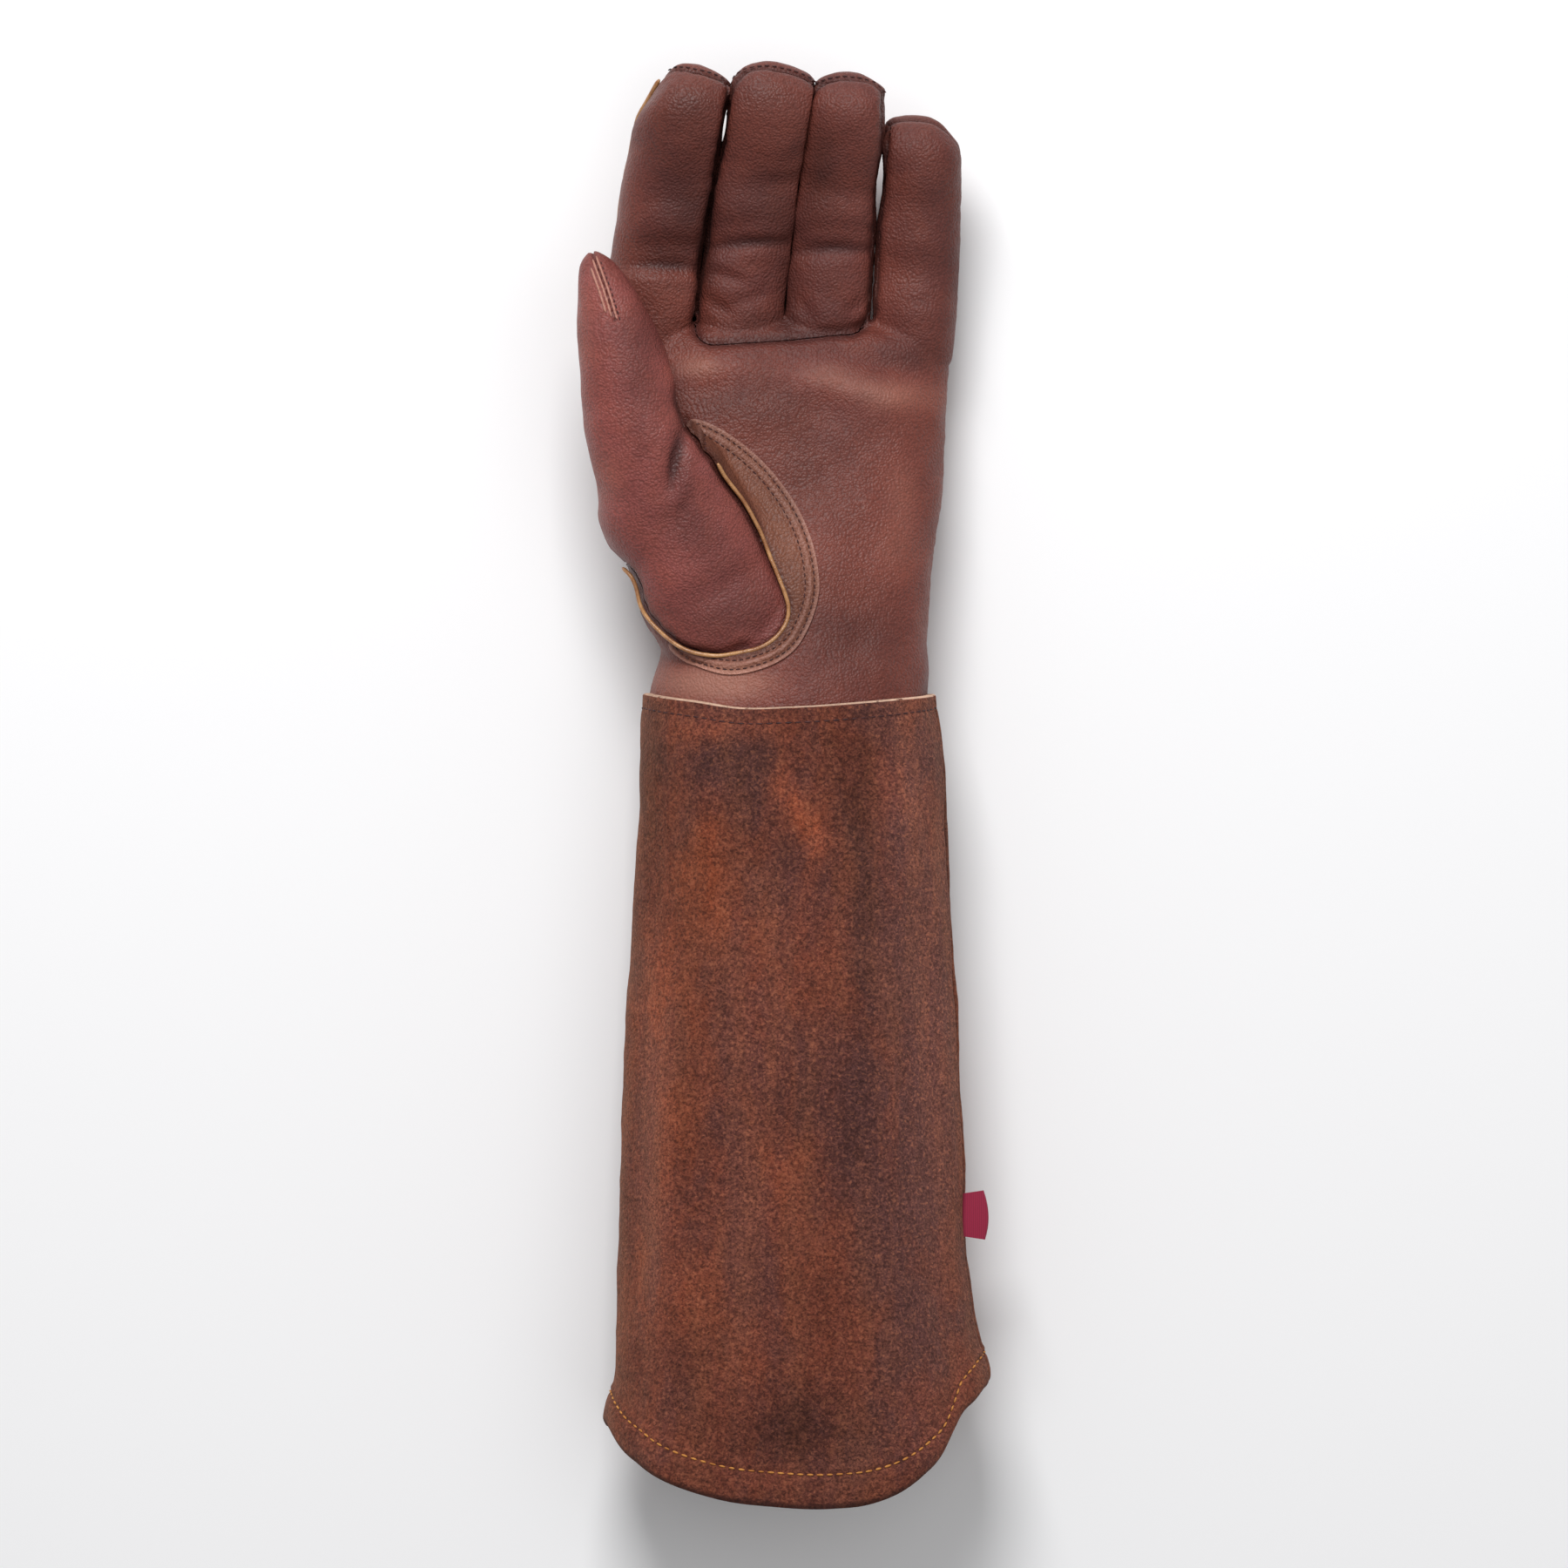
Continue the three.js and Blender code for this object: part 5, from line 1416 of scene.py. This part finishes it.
def on_surface(lines, piece, rise):
    """Lines dropped on a piece, with the piece's own normals."""
    placed_lines = []
    for line, out in lines:
        points, normals = [], []
        for q, n in zip(line, out):
            start = Vector((q + n * 4 + glove_origin) / 1000)
            hit, where, _, _ = piece.ray_cast(start, Vector(-n))
            if hit:
                points.append(np.array(where) * 1000 - glove_origin + n * rise)
                normals.append(n)
        if len(points) > 3:
            placed_lines.append((np.array(points), np.array(normals)))
    return placed_lines


hem_front = on_surface([panel_line(ulnar_turn + 3, radial_turn - 3, cuff_length - hem_row)], cuff_front, 0.1)
hem_back = on_surface([panel_line(radial_turn + 3, ulnar_turn + 357, cuff_length - hem_row)], cuff_back, 0.1)
stitched("hem_stitches", hem_front + hem_back, orange_thread,
         pitch=3.1, length=2.1, thickness=0.7)
top_front = on_surface([panel_line(ulnar_turn + 3, radial_turn - 3, upper_row)], cuff_front, 0.0)
top_back = on_surface([panel_line(radial_turn + 3, ulnar_turn + 357, upper_row)], cuff_back, 0.0)
stitched("upper_edge_stitches", top_front + top_back, dark_thread,
         pitch=3.0, length=2.2, thickness=0.6)
patch_rows = []
for row in patch_stitch_rows:
    patch_rows += seam_lines(patch_skin, patch_skin["rim"] - row, lambda q, n: q[:, 2] > 0, 0.7)[:1]
stitched("patch_stitches", patch_rows, dark_thread,
         pitch=2.2, length=1.5, thickness=0.45, rise=0.12)
roots = seam_lines(skin, np.minimum(skin["fronts"], 30), lambda q, n: (n[:, 2] > 0.2) & (q[:, 1] < 131), 0.7)
stitched("finger_root_stitches", roots[:1], dark_thread,
         pitch=2.4, length=1.4, thickness=0.4, rise=-0.75)
slit_line = even_line(np.array([(x, y, 90.0) for x, y in thumb_slit]), np.tile([0, 0, 1.0], (4, 1)), 0.6)


def beside_slit(away, start, end):
    """A line beside the slit at the thumb's tip, on the thumb."""
    line, out = slit_line
    ahead = np.gradient(line, axis=0)
    aside = np.stack([ahead[:, 1], -ahead[:, 0], 0 * ahead[:, 0]], -1)
    aside /= np.linalg.norm(aside, axis=1, keepdims=True)
    shifted = line + away * aside
    wanted = (shifted[:, 1] < start) & (shifted[:, 1] > end)
    return on_surface([(shifted[wanted], out[wanted])], thumb, 0.0)


stitched("thumb_tip_stitches", beside_slit(-1.5, 139, 121), dark_thread,
         pitch=2.0, length=1.3, thickness=0.42, rise=0.1)
lip_lines = beside_slit(-0.7, 141, 120.6) + beside_slit(0.75, 140, 121) + beside_slit(2.1, 137.5, 122.5)
lips = welt("thumb_tip_lips", lip_lines, radius=0.4, rise=0.12)
even = np.ones(len(lips.data.vertices))
# Painted highlight all along the lips, which get no seam darkening
keep_values(lips.data, edge=12 * even, worn=1.1 * even, tone=0.45 * even)
lips.data.materials.append(thumb_leather)
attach(lips, "root")
tip_lines = seam_lines(skin, skin["side"], lambda q, n: (q[:, 1] > 186) & (n[:, 1] > 0) & (
    q[:, 0] > -38), 0.7)
tip_lines = [(line + np.array([0, 0.4, -1.3]), out) for line, out in tip_lines if len(line) > 12]
stitched("fingertip_stitches", tip_lines, dark_thread,
         pitch=2.3, length=1.6, thickness=0.55, rise=0.1)

peaks = 18
zigzag_x = np.linspace(-38, 37, peaks * 2 + 1)[: peaks * 2 - 1: 2]
zigzag = []
for k in range(len(zigzag_x) - 1):
    for t in np.linspace(0, 1, 9)[:-1]:
        x = zigzag_x[k] + (zigzag_x[k + 1] - zigzag_x[k]) * t
        high = (k % 2) + t * (1 if k % 2 == 0 else -1)
        zigzag.append((x, elastic_place + 4 - 8 * high - 0.1 * (x + 38), -10))
zigzag = np.array(zigzag)
zigzag_out = np.tile([0, 0, -1.0], (len(zigzag), 1))
zigzag_lines = on_surface([(zigzag, zigzag_out)], back, 0.15)
stitched("wrist_zigzag", zigzag_lines, dark_thread,
         pitch=1.9, length=1.8, thickness=0.75, rise=0.1)

# The floor, the lights and the camera
# A plain pale floor under soft studio light, seen from straight above as the glove lies on its back.
floor_mesh = mesh_of("floor", [(-4, -4, 0), (4, -4, 0), (4, 4, 0), (-4, 4, 0)], [[0, 1, 2, 3]])
floor = in_scene("floor", floor_mesh)
floor.location.z = -0.0006
pale, _, shader, _ = new_material("pale floor", 0.9, 0.1)
shader.inputs["Base Color"].default_value = (0.93, 0.93, 0.94, 1)
floor.data.materials.append(pale)
floor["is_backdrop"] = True


def softbox(name, place, aim, size, power):
    light = bpy.data.lights.new(name, "AREA")
    light.shape = "RECTANGLE"
    light.size, light.size_y = size
    light.energy = power
    lamp = in_scene(name, light)
    lamp.location = place
    lamp.rotation_euler = (Vector(aim) - Vector(place)).to_track_quat("-Z", "Y").to_euler()


softbox("key", place=(-0.2, 1.1, 1.25), aim=(0, 0.05, 0), size=(0.7, 0.7), power=24)
softbox("fill", place=(0.5, -0.3, 1.7), aim=(0, -0.05, 0), size=(1.4, 1.4), power=6)
bpy.context.scene.view_settings.view_transform = "Standard"
world = bpy.context.scene.world or bpy.data.worlds.new("studio")
bpy.context.scene.world = world
world.use_nodes = True
world.node_tree.nodes["Background"].inputs["Color"].default_value = (1, 1, 1, 1)
world.node_tree.nodes["Background"].inputs["Strength"].default_value = 0.3

low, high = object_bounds()
middle = (np.array(low) + np.array(high)) / 2
camera_data = bpy.data.cameras.new("camera")
camera = in_scene("camera", camera_data)
camera_away, photo_pixels, pixels_per_mm = 9.0, 1800, 3.59
frame_height = photo_pixels / pixels_per_mm / 1000
camera_data.sensor_width = 36
camera_data.lens = camera_data.sensor_width * (camera_away - 0.03) / frame_height
camera_data.clip_end = 50
camera.location = (middle[0], middle[1], camera_away)
bpy.context.scene.camera = camera
